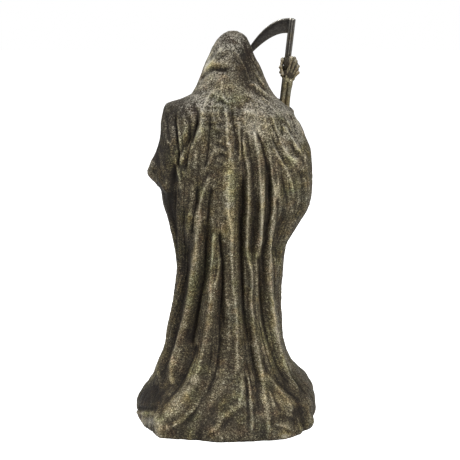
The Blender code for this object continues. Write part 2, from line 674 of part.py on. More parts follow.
def blade(collection):
    """The curved blade: a wedge section, thick at the back, drawn out to a point."""
    along = Vector((math.cos(BLADE_YAW), -math.sin(BLADE_YAW), 0))
    thick = Vector((math.sin(BLADE_YAW), math.cos(BLADE_YAW), 0))
    rings = []
    for k in range(BLADE_SECTIONS + 1):
        t = 0.97 * k / BLADE_SECTIONS
        corners = []
        for curve, thickness in ((BLADE_SPINE, BLADE_SPINE_THICKNESS), (BLADE_EDGE, BLADE_EDGE_THICKNESS)):
            out, up = bezier(curve, t)
            point = SNATH_TOP + along * (out * PART) + Vector((0, 0, up * PART))
            half = thick * (thickness / 2 * (1 - 0.45 * t))
            corners.append((point - half, point + half))
        (back_low, back_high), (edge_low, edge_high) = corners
        rings.append([back_low, back_high, edge_high, edge_low])
    return loft("blade", rings, collection)


def boolean(target, operation, cutters, use_self=False):
    """Joins or cuts with every object of a collection, and makes the result the target's own mesh."""
    modifier = target.modifiers.new(operation.lower(), "BOOLEAN")
    modifier.operation = operation
    modifier.operand_type = "COLLECTION"
    modifier.collection = cutters
    modifier.solver = "EXACT"
    modifier.use_self = use_self
    graph = bpy.context.evaluated_depsgraph_get()
    mesh = bpy.data.meshes.new_from_object(target.evaluated_get(graph))
    target.modifiers.remove(modifier)
    target.data = mesh


def new_collection(name, hidden=False):
    collection = bpy.data.collections.new(name)
    bpy.context.scene.collection.children.link(collection)
    collection.hide_render = hidden
    return collection


def hide_guides(collection):
    """Cutters and joined pieces stay in the file as wires."""
    for obj in collection.objects:
        obj.hide_render = True
        obj.hide_viewport = True
        obj.display_type = "WIRE"


def finish(name, colour, roughness, metallic):
    material = bpy.data.materials.new(name)
    material.use_nodes = True
    shader = material.node_tree.nodes["Principled BSDF"]
    shader.inputs["Base Color"].default_value = colour
    shader.inputs["Roughness"].default_value = roughness
    shader.inputs["Metallic"].default_value = metallic
    return material


def figure(collection):
    """The whole casting: everything joined to the robe, then the scythe's way cut through it."""
    joined = new_collection("joined pieces", hidden=True)
    hollows = new_collection("hollows", hidden=True)
    faces = new_collection("bones", hidden=True)
    sockets = new_collection("sockets", hidden=True)
    cutters = new_collection("clearances", hidden=True)
    body = robe(collection)
    body.name = "reaper_figure"
    left_sleeve(joined)
    right_sleeve(joined)
    hood_hollow(hollows)
    head = skull(faces)
    face_cutters(sockets)
    right_hand(faces)
    left_hand(faces)
    along = (SNATH_TOP - SNATH_FOOT).normalized()
    low, high = SNATH_FOOT - along * CLEARANCE, SNATH_TOP + along * CLEARANCE
    snath_bar("snath_way", SNATH_RADIUS + CLEARANCE, low, high, cutters)
    bpy.context.view_layer.update()
    boolean(head, "DIFFERENCE", sockets)
    boolean(body, "UNION", joined)
    boolean(body, "DIFFERENCE", hollows)
    boolean(body, "UNION", faces)
    boolean(body, "DIFFERENCE", cutters)
    for guides in (joined, hollows, faces, sockets, cutters):
        hide_guides(guides)
    return body


def scythe(collection):
    """The pole and the blade, cast as one."""
    pieces = new_collection("blade pieces", hidden=True)
    pole = snath_bar("scythe", SNATH_RADIUS, SNATH_FOOT, SNATH_TOP, collection)
    blade(pieces)
    bpy.context.view_layer.update()
    boolean(pole, "UNION", pieces)
    hide_guides(pieces)
    return pole


def centre_on_origin(objects):
    """Slides the objects together in plan so that the origin is under the middle of their bounding box."""
    corners = np.array([v.co[:] for obj in objects for v in obj.data.vertices])
    middle = (corners.min(axis=0) + corners.max(axis=0)) / 2
    for obj in objects:
        obj.data.transform(Matrix.Translation((-middle[0], -middle[1], 0.0)))


def main():
    for obj in list(bpy.data.objects):
        bpy.data.objects.remove(obj)
    collection = new_collection("reaper")
    body = figure(collection)
    body.data.materials.clear()
    body.data.materials.append(finish("antique_resin", RESIN_COLOUR, 0.62, 0.35))
    tool = scythe(collection)
    tool.data.materials.clear()
    tool.data.materials.append(finish("scythe_resin", SCYTHE_COLOUR, 0.45, 0.45))
    centre_on_origin((body, tool))
    for obj in (body, tool):
        obj.data.shade_smooth()
        obj.data.set_sharp_from_angle(angle=math.radians(40))


main()
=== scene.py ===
"""Dresses the hooded reaper figurine: its carved robe, hood, skull, bony hands, sleeves and scythe.

The forms are measured in parts, 488 of which are the figure's height to the crown. The figure faces -Y, its
right hand is at -X, and a bearing is an angle around it from the middle of its back towards its left side.
"""

import logging
import math
from dataclasses import dataclass, field
from enum import Enum
from typing import Iterable, Sequence, Union

import bmesh
import bpy
import numpy as np
from mathutils import Matrix, Vector
from mathutils.kdtree import KDTree


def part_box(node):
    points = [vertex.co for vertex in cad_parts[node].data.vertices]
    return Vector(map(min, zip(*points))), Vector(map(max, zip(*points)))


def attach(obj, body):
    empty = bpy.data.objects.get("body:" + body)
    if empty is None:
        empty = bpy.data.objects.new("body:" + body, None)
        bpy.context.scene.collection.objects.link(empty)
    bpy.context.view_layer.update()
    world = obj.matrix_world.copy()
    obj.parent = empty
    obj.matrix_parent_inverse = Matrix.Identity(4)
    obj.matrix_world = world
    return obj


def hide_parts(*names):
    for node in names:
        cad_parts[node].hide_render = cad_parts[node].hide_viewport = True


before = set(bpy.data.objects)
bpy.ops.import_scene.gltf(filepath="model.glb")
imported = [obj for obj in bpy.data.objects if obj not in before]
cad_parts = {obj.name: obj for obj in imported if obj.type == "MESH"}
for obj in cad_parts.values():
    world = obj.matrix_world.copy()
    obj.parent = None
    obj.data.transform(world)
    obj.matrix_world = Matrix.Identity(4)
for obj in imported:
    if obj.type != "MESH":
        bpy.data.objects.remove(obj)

logging.basicConfig(level=logging.INFO, format="%(message)s")
log = logging.getLogger("reaper")

CROWN = 488.0
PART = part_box("reaper_figure")[1].z / CROWN
# Where the carving's own axis stands from the origin, in parts: the origin is under the middle of the whole.
AXIS_OFFSET = Vector((-5.944, -0.441, 0.0))

Point = Union[Vector, Sequence[float]]
Operand = Union["Sock", float, int]


class Side(Enum):
    """The figure's own left and right, as the sign of X."""

    LEFT = 1
    RIGHT = -1


class Course(Enum):
    """Which way a fold runs over the robe."""

    DOWN = "down"
    ACROSS = "across"


class Body(Enum):
    """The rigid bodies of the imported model."""

    ROOT = "root"


def place(point: Point) -> Vector:
    """Turns a point in parts about the carving's axis into metres about the origin.

    Args:
        point: A point in parts.

    Returns:
        The same point in metres, in the model's frame.
    """
    return (Vector(point) + AXIS_OFFSET) * PART


def smoothstep(value: np.ndarray) -> np.ndarray:
    """Eases a value from 0 to 1, flat at both ends.

    Args:
        value: Numbers of any size.

    Returns:
        The eased numbers, between 0 and 1.
    """
    value = np.clip(value, 0.0, 1.0)
    return value * value * (3 - 2 * value)


def curve_through(at: np.ndarray, stations: Sequence[float], values: Sequence[float]) -> np.ndarray:
    """A cubic through stations, with slopes that never overshoot.

    Args:
        at: Where the curve is read.
        stations: The places that it passes, in rising order.
        values: Its value at each of them.

    Returns:
        The curve's value at each place in at.
    """
    stations = np.asarray(stations, float)
    values = np.asarray(values, float)
    rise = np.diff(values) / np.diff(stations)
    agree = rise[:-1] * rise[1:] > 0
    inner = np.where(agree, 2 * rise[:-1] * rise[1:] / np.where(agree, rise[:-1] + rise[1:], 1.0), 0.0)
    slopes = np.concatenate(([rise[0]], inner, [rise[-1]]))
    at = np.clip(at, stations[0], stations[-1])
    k = np.clip(np.searchsorted(stations, at, side="right") - 1, 0, len(stations) - 2)
    span = stations[k + 1] - stations[k]
    t = (at - stations[k]) / span
    return (
        (2 * t**3 - 3 * t**2 + 1) * values[k]
        + (t**3 - 2 * t**2 + t) * span * slopes[k]
        + (3 * t**2 - 2 * t**3) * values[k + 1]
        + (t**3 - t**2) * span * slopes[k + 1]
    )


class LatticeNoise:
    """Smooth noise in space, read from a fixed random lattice."""

    def __init__(self, seed: int, cells: int = 32) -> None:
        """Fills the lattice.

        Args:
            seed: The seed of its random values.
            cells: How many cells it has each way before it repeats.
        """
        self.cells = cells
        self.values = np.random.default_rng(seed).uniform(-1.0, 1.0, (cells, cells, cells))

    def at(self, points: np.ndarray, cell: float) -> np.ndarray:
        """Reads the noise.

        Args:
            points: Points in parts, with their coordinates along the last axis.
            cell: The size of one lump of the noise, in parts.

        Returns:
            A value for each point, between about -1 and 1.
        """
        scaled = points / cell
        low = np.floor(scaled).astype(int)
        share = smoothstep(scaled - low)
        total = np.zeros(points.shape[:-1])
        for corner in range(8):
            step = np.array([(corner >> k) & 1 for k in range(3)])
            weight = np.prod(np.where(step == 1, share, 1 - share), axis=-1)
            index = (low + step) % self.cells
            total += weight * self.values[index[..., 0], index[..., 1], index[..., 2]]
        return total


# The robe's sections: height, then its reach to the figure's left, right, back and front.
SECTIONS = (
    (0, 116, 108, 109, 97),
    (6, 118, 110, 111, 99),
    (14, 118, 109, 109, 97),
    (24, 115, 109, 102, 91),
    (36, 108, 104, 92, 83),
    (50, 97, 91, 81, 74),
    (66, 92, 79, 72, 66),
    (98, 82, 68, 58, 57),
    (122, 80, 66, 53, 52),
    (146, 76, 64, 50, 49),
    (193, 69, 67, 47, 46),
    (217, 71, 69, 47, 46),
    (247, 77, 85, 47, 47),
    (278, 85, 101, 49, 48),
    (300, 86, 103, 51, 49),
    (340, 87, 100, 53, 48),
    (360, 88, 92, 53, 46),
    (390, 86, 74, 49, 44),
    (398, 83, 65, 47, 43),
    (404, 65, 57, 46, 42),
    (411, 51, 50, 45, 42),
    (428, 42, 40, 42, 44),
    (443, 37, 34, 39, 46),
    (458, 31, 26, 34, 44),
    (471, 24, 21, 27, 34),
    (479, 18, 17, 19, 24),
    (484, 12, 12, 13, 16),
    (487, 6, 6, 6, 8),
)
# How square the sections are, by height: 2 is an ellipse.
FULLNESS = ((0, 2.75), (20, 2.7), (70, 2.25), (380, 2.3), (430, 2.05), (487, 2.0))


@dataclass(frozen=True)
class Fold:
    """A ridge, or a valley if its depth is negative.

    A fold that runs down the figure has a path of heights and bearings, from the top. One that runs across has a
    path of bearings and heights, in the order of the bearings.
    """

    path: tuple
    depth: float
    width: float
    low_width: float = 0.0
    low_depth: float = 0.0
    fade: float = 24.0
    course: Course = Course.DOWN

    def profile(self, across: np.ndarray) -> np.ndarray:
        """The fold's section: ridges are round, valleys a little sharper.

        Args:
            across: Distance from the fold's line, in its own widths.

        Returns:
            The share of the fold's depth at each distance.
        """
        if self.depth > 0:
            return np.exp(-(across**2))
        return np.exp(-((across**2 + 0.04) ** 0.62) + 0.04**0.62)


def across_fold(path: tuple, depth: float, width: float, fade: float) -> Fold:
    """A fold that runs across the figure."""
    return Fold(path, depth, width, fade=fade, course=Course.ACROSS)


# The main folds of the back, which the solid has too.
BACK_FOLDS = (
    Fold(((395, 4), (340, 1), (245, 1), (170, -1), (100, -5)), 3.5, 9, 12),
    Fold(((318, -5), (290, -5), (213, -8), (170, -10), (127, -13), (92, -15), (34, -13)), -8.0, 5, 7, -5.0, 46),
    Fold(((350, -10), (322, -10), (262, -11), (212, -15)), 3.0, 3.5, 4.5),
    Fold(((312, -14), (263, -16), (236, -18), (205, -21)), -6.0, 5, 6, fade=36),
    Fold(((330, -19), (298, -20), (250, -24), (218, -31)), 4.5, 4.5, 5),
    Fold(((344, -24), (326, -25), (292, -25), (254, -28), (218, -35), (176, -37), (134, -39), (98, -43)), -7.5, 4, 6, fade=44),
    Fold(
        ((322, -30), (287, -29), (245, -35), (210, -44), (176, -48), (122, -58), (93, -63), (74, -66), (54, -78)),
        6.0,
        5,
        9,
    ),
    Fold(((285, -37), (235, -47), (200, -62)), -7.0, 7, 8),
    Fold(((120, -22), (107, -24), (73, -30), (49, -38), (26, -58), (0, -66)), 4.5, 5, 9, 4.5),
    Fold(((60, -24), (30, -32), (0, -34)), 5.0, 10, 13),
    Fold(((105, -28), (68, -36), (46, -47), (10, -52), (0, -52)), -4.0, 5, 8, -6.0),
    Fold(((250, 6), (195, 6), (170, 7), (150, 6), (117, 4)), -5.0, 6, 6),
    Fold(((200, 15), (170, 16), (137, 17), (112, 18), (88, 24), (59, 27), (41, 32), (10, 38), (0, 38)), 6.0, 6, 15, 8.0),
    Fold(
        ((268, 21), (229, 23), (195, 27), (170, 30), (137, 31), (112, 34), (88, 36), (63, 40), (40, 47)), -7.0, 6, 8, -9.0
    ),
    Fold(((285, 26), (263, 27), (229, 31), (185, 39), (166, 41), (132, 45), (107, 50), (82, 52), (60, 52)), 6.0, 6, 8),
    Fold(
        ((250, 40), (224, 44), (185, 51), (156, 52), (132, 53), (107, 59), (83, 66), (62, 66), (46, 66)), -7.0, 5, 8, -9.0
    ),
    Fold(((318, 53), (293, 60), (259, 66), (205, 66), (171, 63), (146, 68), (122, 70), (98, 76), (60, 84), (0, 88)), 5.0, 5, 12),
    Fold(((300, 80), (260, 82), (200, 84), (120, 92), (60, 100), (0, 104)), -6.0, 6, 10, -7.0),
    Fold(((409, 60), (400, 34), (390, 26), (377, 27), (366, 31), (356, 36), (337, 43), (318, 49), (300, 49)), -3.4, 3.0, 4.0, fade=12),
    Fold(((405, 40), (396, 24), (376, 21), (361, 26), (346, 35), (326, 43)), 3.0, 4, 4.5, fade=12),
    Fold(((396, 55), (380, 50), (366, 45), (330, 50)), -3.0, 4, 4),
    Fold(((365, 88), (341, 78), (322, 72), (306, 73), (250, 76)), -6.5, 4, 9, fade=14),
    Fold(((474, -15), (455, -34), (437, -41), (420, -47), (405, -57)), 1.6, 2.6, 3.2, fade=14),
    Fold(((474, -24), (455, -43), (437, -50), (420, -56), (407, -66)), -2.2, 3.6, 4.0, fade=14),
    Fold(((432, -24), (420, -38), (410, -50)), 1.6, 2.5, 3.0, fade=10),
    Fold(((388, 8), (366, 9), (345, 9)), -2.5, 5, 5),
    Fold(((385, -4), (357, -5), (330, -5)), 1.6, 3, 3),
    Fold(((400, -40), (378, -41), (358, -38)), -1.8, 4, 4),
    Fold(((362, -36), (342, -42), (318, -46)), 1.8, 4, 4),
    Fold(((362, -52), (340, -62), (310, -66)), 1.8, 4, 4),
    Fold(((60, 2), (24, 9), (0, 14)), -3.0, 5, 9, -5.0),
    Fold(((26, -50), (12, -51), (0, -52)), 8.0, 10, 13),
    across_fold(((112, 404), (145, 390), (178, 380), (212, 390), (246, 404)), 3.4, 6.0, 30),
    across_fold(((116, 388), (148, 370), (178, 356), (210, 370), (242, 388)), -3.6, 6.0, 30),
    across_fold(((120, 372), (150, 350), (178, 334), (208, 350), (238, 372)), 3.4, 6.0, 30),
)

@dataclass(frozen=True)
class PhotoFold:
    """A narrow ridge, or a valley if its depth is negative, along a line of the photograph.

    The line is a list of pixels from its start to its end. Depth and widths are in parts.
    """

    pixels: tuple
    depth: float
    width: float
    end_width: float = 0.0
    fade: float = 9.0


PHOTO_FOLDS = (
    # Hood: the crease that overhangs the mantle, the lit flank and the fine creases of the right edge.
    PhotoFold(((200, 80), (206, 74), (213, 70), (220, 69.5), (230, 69)), -2.9, 1.8),
    PhotoFold(((203, 73), (209, 66), (216, 63), (226, 64)), 1.3, 2.6),
    PhotoFold(((205, 65), (210, 56), (215, 47)), -1.0, 1.6),
    PhotoFold(((206, 71), (212, 60), (219, 51), (223, 42)), 1.0, 2.4),
    PhotoFold(((214, 64), (222, 57), (229, 51)), -1.0, 1.8),
    PhotoFold(((230, 42), (235, 52), (241, 61), (246, 72), (249, 81)), 1.2, 1.3),
    PhotoFold(((240, 42), (244, 52), (250, 64), (257, 76), (266, 88)), 1.6, 1.3),
    PhotoFold(((243, 40), (248, 51), (255, 64), (263, 78)), -1.5, 1.3),
    PhotoFold(((248, 82), (254, 84), (260, 89), (270, 97)), 2.2, 1.1, 1.4),
    PhotoFold(((250, 85), (256, 89), (263, 96), (270, 102)), -2.0, 1.1),
    PhotoFold(((252, 87), (258, 91), (265, 99), (272, 104)), 1.3, 1.1),
    PhotoFold(((244, 84), (254, 91), (262, 99)), -1.0, 1.3),
    PhotoFold(((195, 90), (201, 86.5), (209, 84)), 0.9, 1.5),
    PhotoFold(((195, 93), (203, 91), (210, 88)), -0.8, 1.4),
    # Mantle.
    PhotoFold(((213, 90), (207, 101), (203, 112), (201, 124), (199, 138)), 1.5, 2.0, 3.0),
    PhotoFold(((216, 91), (211, 100), (208, 112)), -1.1, 1.8),
    PhotoFold(((222, 80), (222, 90), (221, 96), (226, 101), (230, 105)), 1.2, 1.6),
    PhotoFold(((214, 103), (221, 101), (227, 107)), -1.1, 1.6),
    PhotoFold(((228, 86), (232, 92), (234, 98)), -0.8, 3.0),
    PhotoFold(((245, 100), (249, 104)), -1.2, 3.0),
    PhotoFold(((240, 96), (246, 95), (252, 98)), 0.9, 2.6),
    PhotoFold(((240, 112), (249, 111), (258, 116)), 1.0, 3.4),
    # Left arm: the fan of folds that gathers above the sleeve's lower edge.
    PhotoFold(((178, 118), (179, 130), (181, 146), (181, 166)), 1.6, 1.5),
    PhotoFold(((175, 112), (176, 126), (178, 142), (179, 162)), -1.8, 1.5),
    PhotoFold(((190, 116), (189, 134), (186, 150), (183, 168)), -2.4, 1.7, 1.9),
    PhotoFold(((184, 114), (185, 130), (184, 146), (182, 164)), 1.2, 1.8),
    PhotoFold(((168, 138), (173, 152), (177, 166), (180, 180), (181, 190)), 2.2, 2.0, 2.2),
    PhotoFold(((166, 112), (168, 128), (171, 146), (175, 160)), -1.6, 1.9),
    PhotoFold(((162, 146), (165, 158), (168, 174)), 1.6, 1.9),
    PhotoFold(((158, 150), (160, 162), (163, 176)), -1.6, 1.9),
    # Left of the back: the sleeve's seam, the lit panel and the ridge that falls to the hem.
    PhotoFold(((198, 118), (195, 130), (191, 144), (186, 160), (184, 172)), -3.0, 1.8, 2.0),
    PhotoFold(((202, 124), (199, 140), (196, 156), (195, 170)), 1.6, 4.0),
    PhotoFold(((210, 114), (209, 134), (207, 152), (205, 170)), -1.7, 1.9),
    PhotoFold(((216, 144), (212, 156), (208, 166), (203, 176)), 1.5, 1.9),
    PhotoFold(((192, 184), (191, 205), (189, 225), (187, 250)), 1.4, 2.8, 3.2),
    PhotoFold(((197, 186), (196, 200), (194, 215), (192, 235)), -1.8, 1.8),
    PhotoFold(
        ((210, 176), (204, 190), (200, 205), (199, 225), (197, 245), (195, 262), (192, 285), (188, 310), (183, 330)),
        2.9, 2.2, 4.4,
    ),
    PhotoFold(((186, 322), (179, 340), (175, 354), (172, 369), (170, 386)), 2.6, 4.4, 5.0),
    PhotoFold(((212, 186), (209, 200), (207, 220), (205, 245), (203, 275), (198, 300), (194, 322), (188, 345)), -3.3, 2.6, 3.6),
    PhotoFold(((197, 345), (190, 364), (181, 380), (171, 396), (164, 402)), -5.0, 3.6, 4.4),
    PhotoFold(((185, 205), (184, 225), (184, 250), (182, 275)), -1.6, 2.4, 3.0),
    PhotoFold(((176, 190), (175, 215), (177, 240), (180, 265)), -1.6, 2.4, 3.0),
    # Central ridge and the lumps beside it.
    PhotoFold(((225, 108), (227, 122), (227, 136), (230, 150), (231, 166)), 2.7, 1.9, 2.6, 5.0),
    PhotoFold(((231, 160), (229, 180), (228, 198), (228, 216)), 1.9, 4.4, 4.4),
    PhotoFold(((228, 210), (231, 230), (231, 255), (233, 280), (235, 300), (236.5, 325), (237, 350), (238, 372)), 2.6, 2.8, 3.0),
    PhotoFold(((231, 110), (233, 124), (235, 140), (236, 154)), -2.2, 2.3),
    PhotoFold(((221, 121), (223, 127)), -1.0, 2.6, fade=4.0),
    PhotoFold(((217, 131), (222, 138)), -1.0, 2.0, fade=4.0),
    PhotoFold(((216, 145), (222, 145), (227, 150)), -1.1, 1.6, fade=4.0),
    PhotoFold(((218, 154), (224, 156), (227, 162)), -1.1, 1.9, fade=4.0),
    PhotoFold(((224, 166), (227, 172)), -1.0, 1.8, fade=4.0),
    PhotoFold(((214, 143), (219, 141), (226, 144)), 0.8, 1.0, fade=4.0),
    PhotoFold(((220, 151), (225, 152)), 0.7, 1.0, fade=4.0),
    PhotoFold(((216, 128), (220, 132)), 0.7, 1.1, fade=4.0),
    # Right of the centre: long thin ridges with dark valleys between.
    PhotoFold(((238, 118), (239, 134), (240, 148), (239, 164)), 1.7, 1.4),
    PhotoFold(((242, 128), (241, 145), (242, 158)), -1.6, 1.3),
    PhotoFold(((243, 172), (243, 188), (243, 204), (241, 225), (241, 250), (242, 275), (243, 300), (246, 325), (250, 350)), -4.6, 2.4, 3.4, 26),
    PhotoFold(((250, 345), (253, 362), (257, 380), (258, 398), (259, 414)), -3.2, 3.0, 4.2),
    PhotoFold(((243, 138), (245, 155), (248, 175), (248, 200), (247, 225), (247, 250), (250, 270), (252, 290)), 2.3, 1.4, 2.4),
    PhotoFold(((251, 262), (252, 280), (251, 300), (253, 320), (255, 340), (259, 360), (262, 380), (265, 400), (268, 420), (270, 434)), 2.6, 2.4, 3.4),
    PhotoFold(((246, 132), (249, 150), (252, 170), (253, 200), (253, 230), (252, 255)), -2.2, 2.0, 3.0),
    PhotoFold(((254, 132), (257, 150), (259, 168), (260, 190), (261, 215), (261, 235), (258, 258)), 2.6, 2.0, 2.4),
    PhotoFold(((256, 131), (262, 146), (266, 162), (267, 180), (266, 205), (265, 232), (263, 262)), -2.8, 1.7, 2.6),
    PhotoFold(((267, 150), (269, 162), (270, 176), (269, 200)), -1.5, 1.1),
    PhotoFold(((267, 146), (269, 158), (271, 172), (273, 190), (272, 212), (270, 232), (269, 255)), 2.4, 1.9, 2.6, 20),
    PhotoFold(((264, 108), (265, 122), (268, 136)), 0.7, 3.2),
    PhotoFold(((269, 250), (268, 280), (270, 300), (272, 320), (276, 342), (280, 358), (288, 375), (299, 390)), 2.6, 2.4, 3.0),
    PhotoFold(((262, 256), (262, 280), (264, 305), (267, 330), (272, 350), (280, 370), (290, 385)), -4.0, 3.4, 3.0),
    PhotoFold(((277, 196), (277, 220), (273, 248), (274, 275), (276, 300)), -2.4, 2.6, 3.0),
    # Right bulge: short creases that fan from the raised arm.
    PhotoFold(((269, 112), (274, 124), (279, 138)), 1.5, 1.5),
    PhotoFold(((271, 124), (276, 134), (280, 144)), -1.6, 1.2),
    PhotoFold(((278, 138), (283, 148), (288, 156), (296, 162)), 1.9, 1.3, 2.2),
    PhotoFold(((280, 116), (282, 128), (283, 140)), -1.5, 1.6),
    PhotoFold(((283, 126), (290, 136), (297, 148), (304, 157)), 1.6, 1.6),
    PhotoFold(((288, 140), (293, 149), (300, 160)), -1.8, 1.6),
    PhotoFold(((272, 138), (279, 153), (287, 168)), -1.8, 1.5),
    PhotoFold(((273, 146), (280, 160), (288, 172)), 1.4, 2.0),
    PhotoFold(((285, 168), (291, 182), (294, 198)), 1.5, 2.2),
    PhotoFold(((280, 172), (285, 190), (288, 208)), -1.6, 2.6),
    PhotoFold(((292, 112), (298, 124), (304, 138)), 1.2, 1.6),
    PhotoFold(((289, 112), (294, 124), (300, 138)), -1.4, 1.6),
    PhotoFold(((298, 166), (302, 184), (301, 204), (294, 220)), -1.3, 2.4),
    # Lower robe.
    PhotoFold(((214, 232), (212, 255), (211, 280), (211, 300), (209, 322), (205, 342), (200, 364), (195, 384)), 3.0, 2.6, 5.0),
    PhotoFold(((199, 372), (193, 386), (183, 398), (173, 409), (166, 416)), 3.4, 5.6, 6.6, 14.0),
    PhotoFold(((219, 231), (220, 248), (222, 265), (222, 285), (220, 305), (219, 325), (218, 348), (216, 372)), -3.6, 2.4, 3.0),
    PhotoFold(((216, 368), (211, 386), (204, 399), (194, 412), (184, 426)), -2.6, 3.0, 3.2),
    PhotoFold(((221, 256), (218, 272), (215, 288)), 1.6, 1.8),
    PhotoFold(((218, 322), (218, 340), (216, 360), (213, 378)), 1.6, 1.3),
    PhotoFold(((213, 340), (211, 356), (209, 370)), -1.3, 1.3),
    PhotoFold(((228, 296), (229, 325), (229, 355)), 1.4, 3.6),
    PhotoFold(((241, 372), (242, 388), (240, 405)), 1.8, 2.0, 2.6),
    PhotoFold(((246, 370), (249, 380), (250, 390), (251, 405), (252, 420), (252, 432)), 2.8, 1.2, 1.6, 5.0),
    PhotoFold(((245, 374), (247, 390), (248, 408), (249, 428)), -2.2, 1.2, 1.6),
    PhotoFold(((261, 372), (267, 384), (271, 396), (274, 410)), 1.9, 1.6, 2.4),
    PhotoFold(((266, 372), (276, 386), (285, 398), (292, 411)), 2.4, 2.0, 3.2),
    PhotoFold(((264, 378), (270, 390), (275, 402), (280, 412)), -1.6, 1.4, 2.0),
    PhotoFold(((258, 300), (261, 328), (265, 348), (272, 368), (283, 387), (301, 403)), -2.0, 1.3, 1.8),
    PhotoFold(((281, 358), (289, 373), (300, 386), (307, 396)), -1.6, 1.8, 2.2),
    PhotoFold(((204, 399), (192, 411), (180, 421), (166, 430)), 1.7, 2.4, 3.0),
    PhotoFold(((245, 402), (234, 408), (224, 416), (214, 428), (207, 434)), 2.0, 2.2, 2.4),
    PhotoFold(((236, 414), (228, 420), (220, 430)), -1.4, 2.4),
    PhotoFold(((158, 370), (160, 382), (162, 394)), 1.8, 1.8),
    PhotoFold(((154, 380), (155, 392), (154, 404)), -1.6, 2.4),
    PhotoFold(((166, 396), (164, 406), (160, 414)), -2.0, 3.0),
    PhotoFold(((138, 411), (147, 414), (157, 414)), 1.8, 2.0),
    PhotoFold(((139, 407), (149, 409), (158, 408)), -2.4, 1.8),
    PhotoFold(((272, 421), (282, 424), (290, 430)), 1.7, 1.7),
    PhotoFold(((276, 414), (287, 418), (297, 424)), -1.9, 2.6),
)


@dataclass(frozen=True)
class PaintedLightAndWash:
    """A soft patch painted lighter, or darker if its depth is negative: some are painted highlights and painted shade,
    the others lighten or darken the patina.

    Its middle and its reach across and down are in pixels of the photograph.
    """

    middle: tuple
    reach: tuple
    depth: float


# Painted light and shade among these patches: the lit left flank of the hood, the shaded right flank of the hood, the
# shadow under the left sleeve, the lit right bulge and the highlight at its edge. The others lighten or darken the
# patina.
PAINTED_LIGHT_AND_WASHES = (
    PaintedLightAndWash((205, 60), (7, 20), 0.27),
    PaintedLightAndWash((247, 60), (8, 22), -0.36),
    PaintedLightAndWash((229, 38), (9, 6), -0.16),
    PaintedLightAndWash((226, 92), (22, 12), 0.08),
    PaintedLightAndWash((176, 112), (17, 18), -0.24),
    PaintedLightAndWash((158, 160), (15, 30), -0.34),
    PaintedLightAndWash((168, 207), (8, 26), -0.44),
    PaintedLightAndWash((170, 280), (7, 50), -0.22),
    PaintedLightAndWash((184, 262), (9, 46), -0.16),
    PaintedLightAndWash((146, 395), (14, 13), -0.52),
    PaintedLightAndWash((149, 421), (15, 9), 0.21),
    PaintedLightAndWash((160, 392), (4, 14), -0.28),
    PaintedLightAndWash((284, 435), (6, 4), 0.22),
    PaintedLightAndWash((304, 134), (5, 4), 0.10),
    PaintedLightAndWash((202, 335), (18, 40), -0.12),
    PaintedLightAndWash((229, 188), (8, 30), 0.11),
    PaintedLightAndWash((222, 215), (11, 30), 0.08),
    PaintedLightAndWash((254, 130), (16, 24), 0.17),
    PaintedLightAndWash((262, 218), (4, 34), 0.14),
    PaintedLightAndWash((290, 150), (14, 30), 0.12),
    PaintedLightAndWash((222, 420), (34, 14), -0.07),
    PaintedLightAndWash((297, 402), (16, 22), -0.13),
    PaintedLightAndWash((273, 328), (5, 26), 0.15),
)


def hanging_folds() -> Iterable[Fold]:
    """The plain folds of the front, which the arms partly hide.

    Returns:
        Ridges at even bearings, with a valley between each two.
    """
    count, first, last = 6, 122.0, 238.0
    depth, width = 5.0, 6.5
    gap = (last - first) / (count - 1)
    for k in range(count):
        bearing = first + gap * k
        sway = 4.0 * math.sin(2.1 * k)
        top = 262 + 34 * math.cos(1.7 * k)
        path = ((top, bearing + sway), (150, bearing), (60, bearing - 0.6 * sway), (0, bearing - sway))
        yield Fold(path, depth, width, 1.5 * width, 1.3 * depth)
        if k < count - 1:
            valley = bearing + gap / 2
            path = ((top - 30, valley), (150, valley + 0.5 * sway), (0, valley))
            yield Fold(path, -depth, 0.8 * width, width)


@dataclass(frozen=True)
class Crumple:
    """A patch of broken, lumpy cloth or worn casting."""

    height: float
    bearing: float
    tall: float
    wide: float
    depth: float
    cell: float


CRUMPLES = (
    Crumple(362, 4, 34, 9, 1.3, 3.4),
    Crumple(340, 10, 24, 10, 0.9, 3.6),
    Crumple(345, -58, 30, 22, 2.2, 6.5),
    Crumple(376, -52, 16, 16, 1.6, 5.0),
    Crumple(300, -62, 34, 18, 1.5, 8.0),
    Crumple(388, 10, 18, 26, 1.2, 5.0),
    Crumple(40, -10, 30, 30, 1.6, 11.0),
    Crumple(30, 60, 26, 30, 2.0, 12.0),
    Crumple(24, -60, 22, 30, 2.0, 11.0),
    Crumple(440, 10, 30, 60, 0.9, 9.0),
)


@dataclass(frozen=True)
class PhotoView:
    """The photograph's view: a camera behind the figure, a little above it."""

    elevation: float = math.radians(13)
    distance: float = 1500.0
    aim_height: float = 240.0
    lens: float = 93.0
    sensor: float = 36.0
    pixels: float = 460.0

    def project(self, points: np.ndarray) -> np.ndarray:
        """Where points appear in the photograph.

        Args:
            points: Points in parts about the carving's axis, with their coordinates along the last axis.

        Returns:
            Their pixels, across and down.
        """
        x, y, z = points[..., 0], points[..., 1], points[..., 2] - self.aim_height
        sine, cosine = math.sin(self.elevation), math.cos(self.elevation)
        depth = self.distance - y * cosine - z * sine
        zoom = self.lens / self.sensor * self.pixels / depth
        return np.stack((self.pixels / 2 - zoom * x, self.pixels / 2 - zoom * (z * cosine - y * sine)), axis=-1)


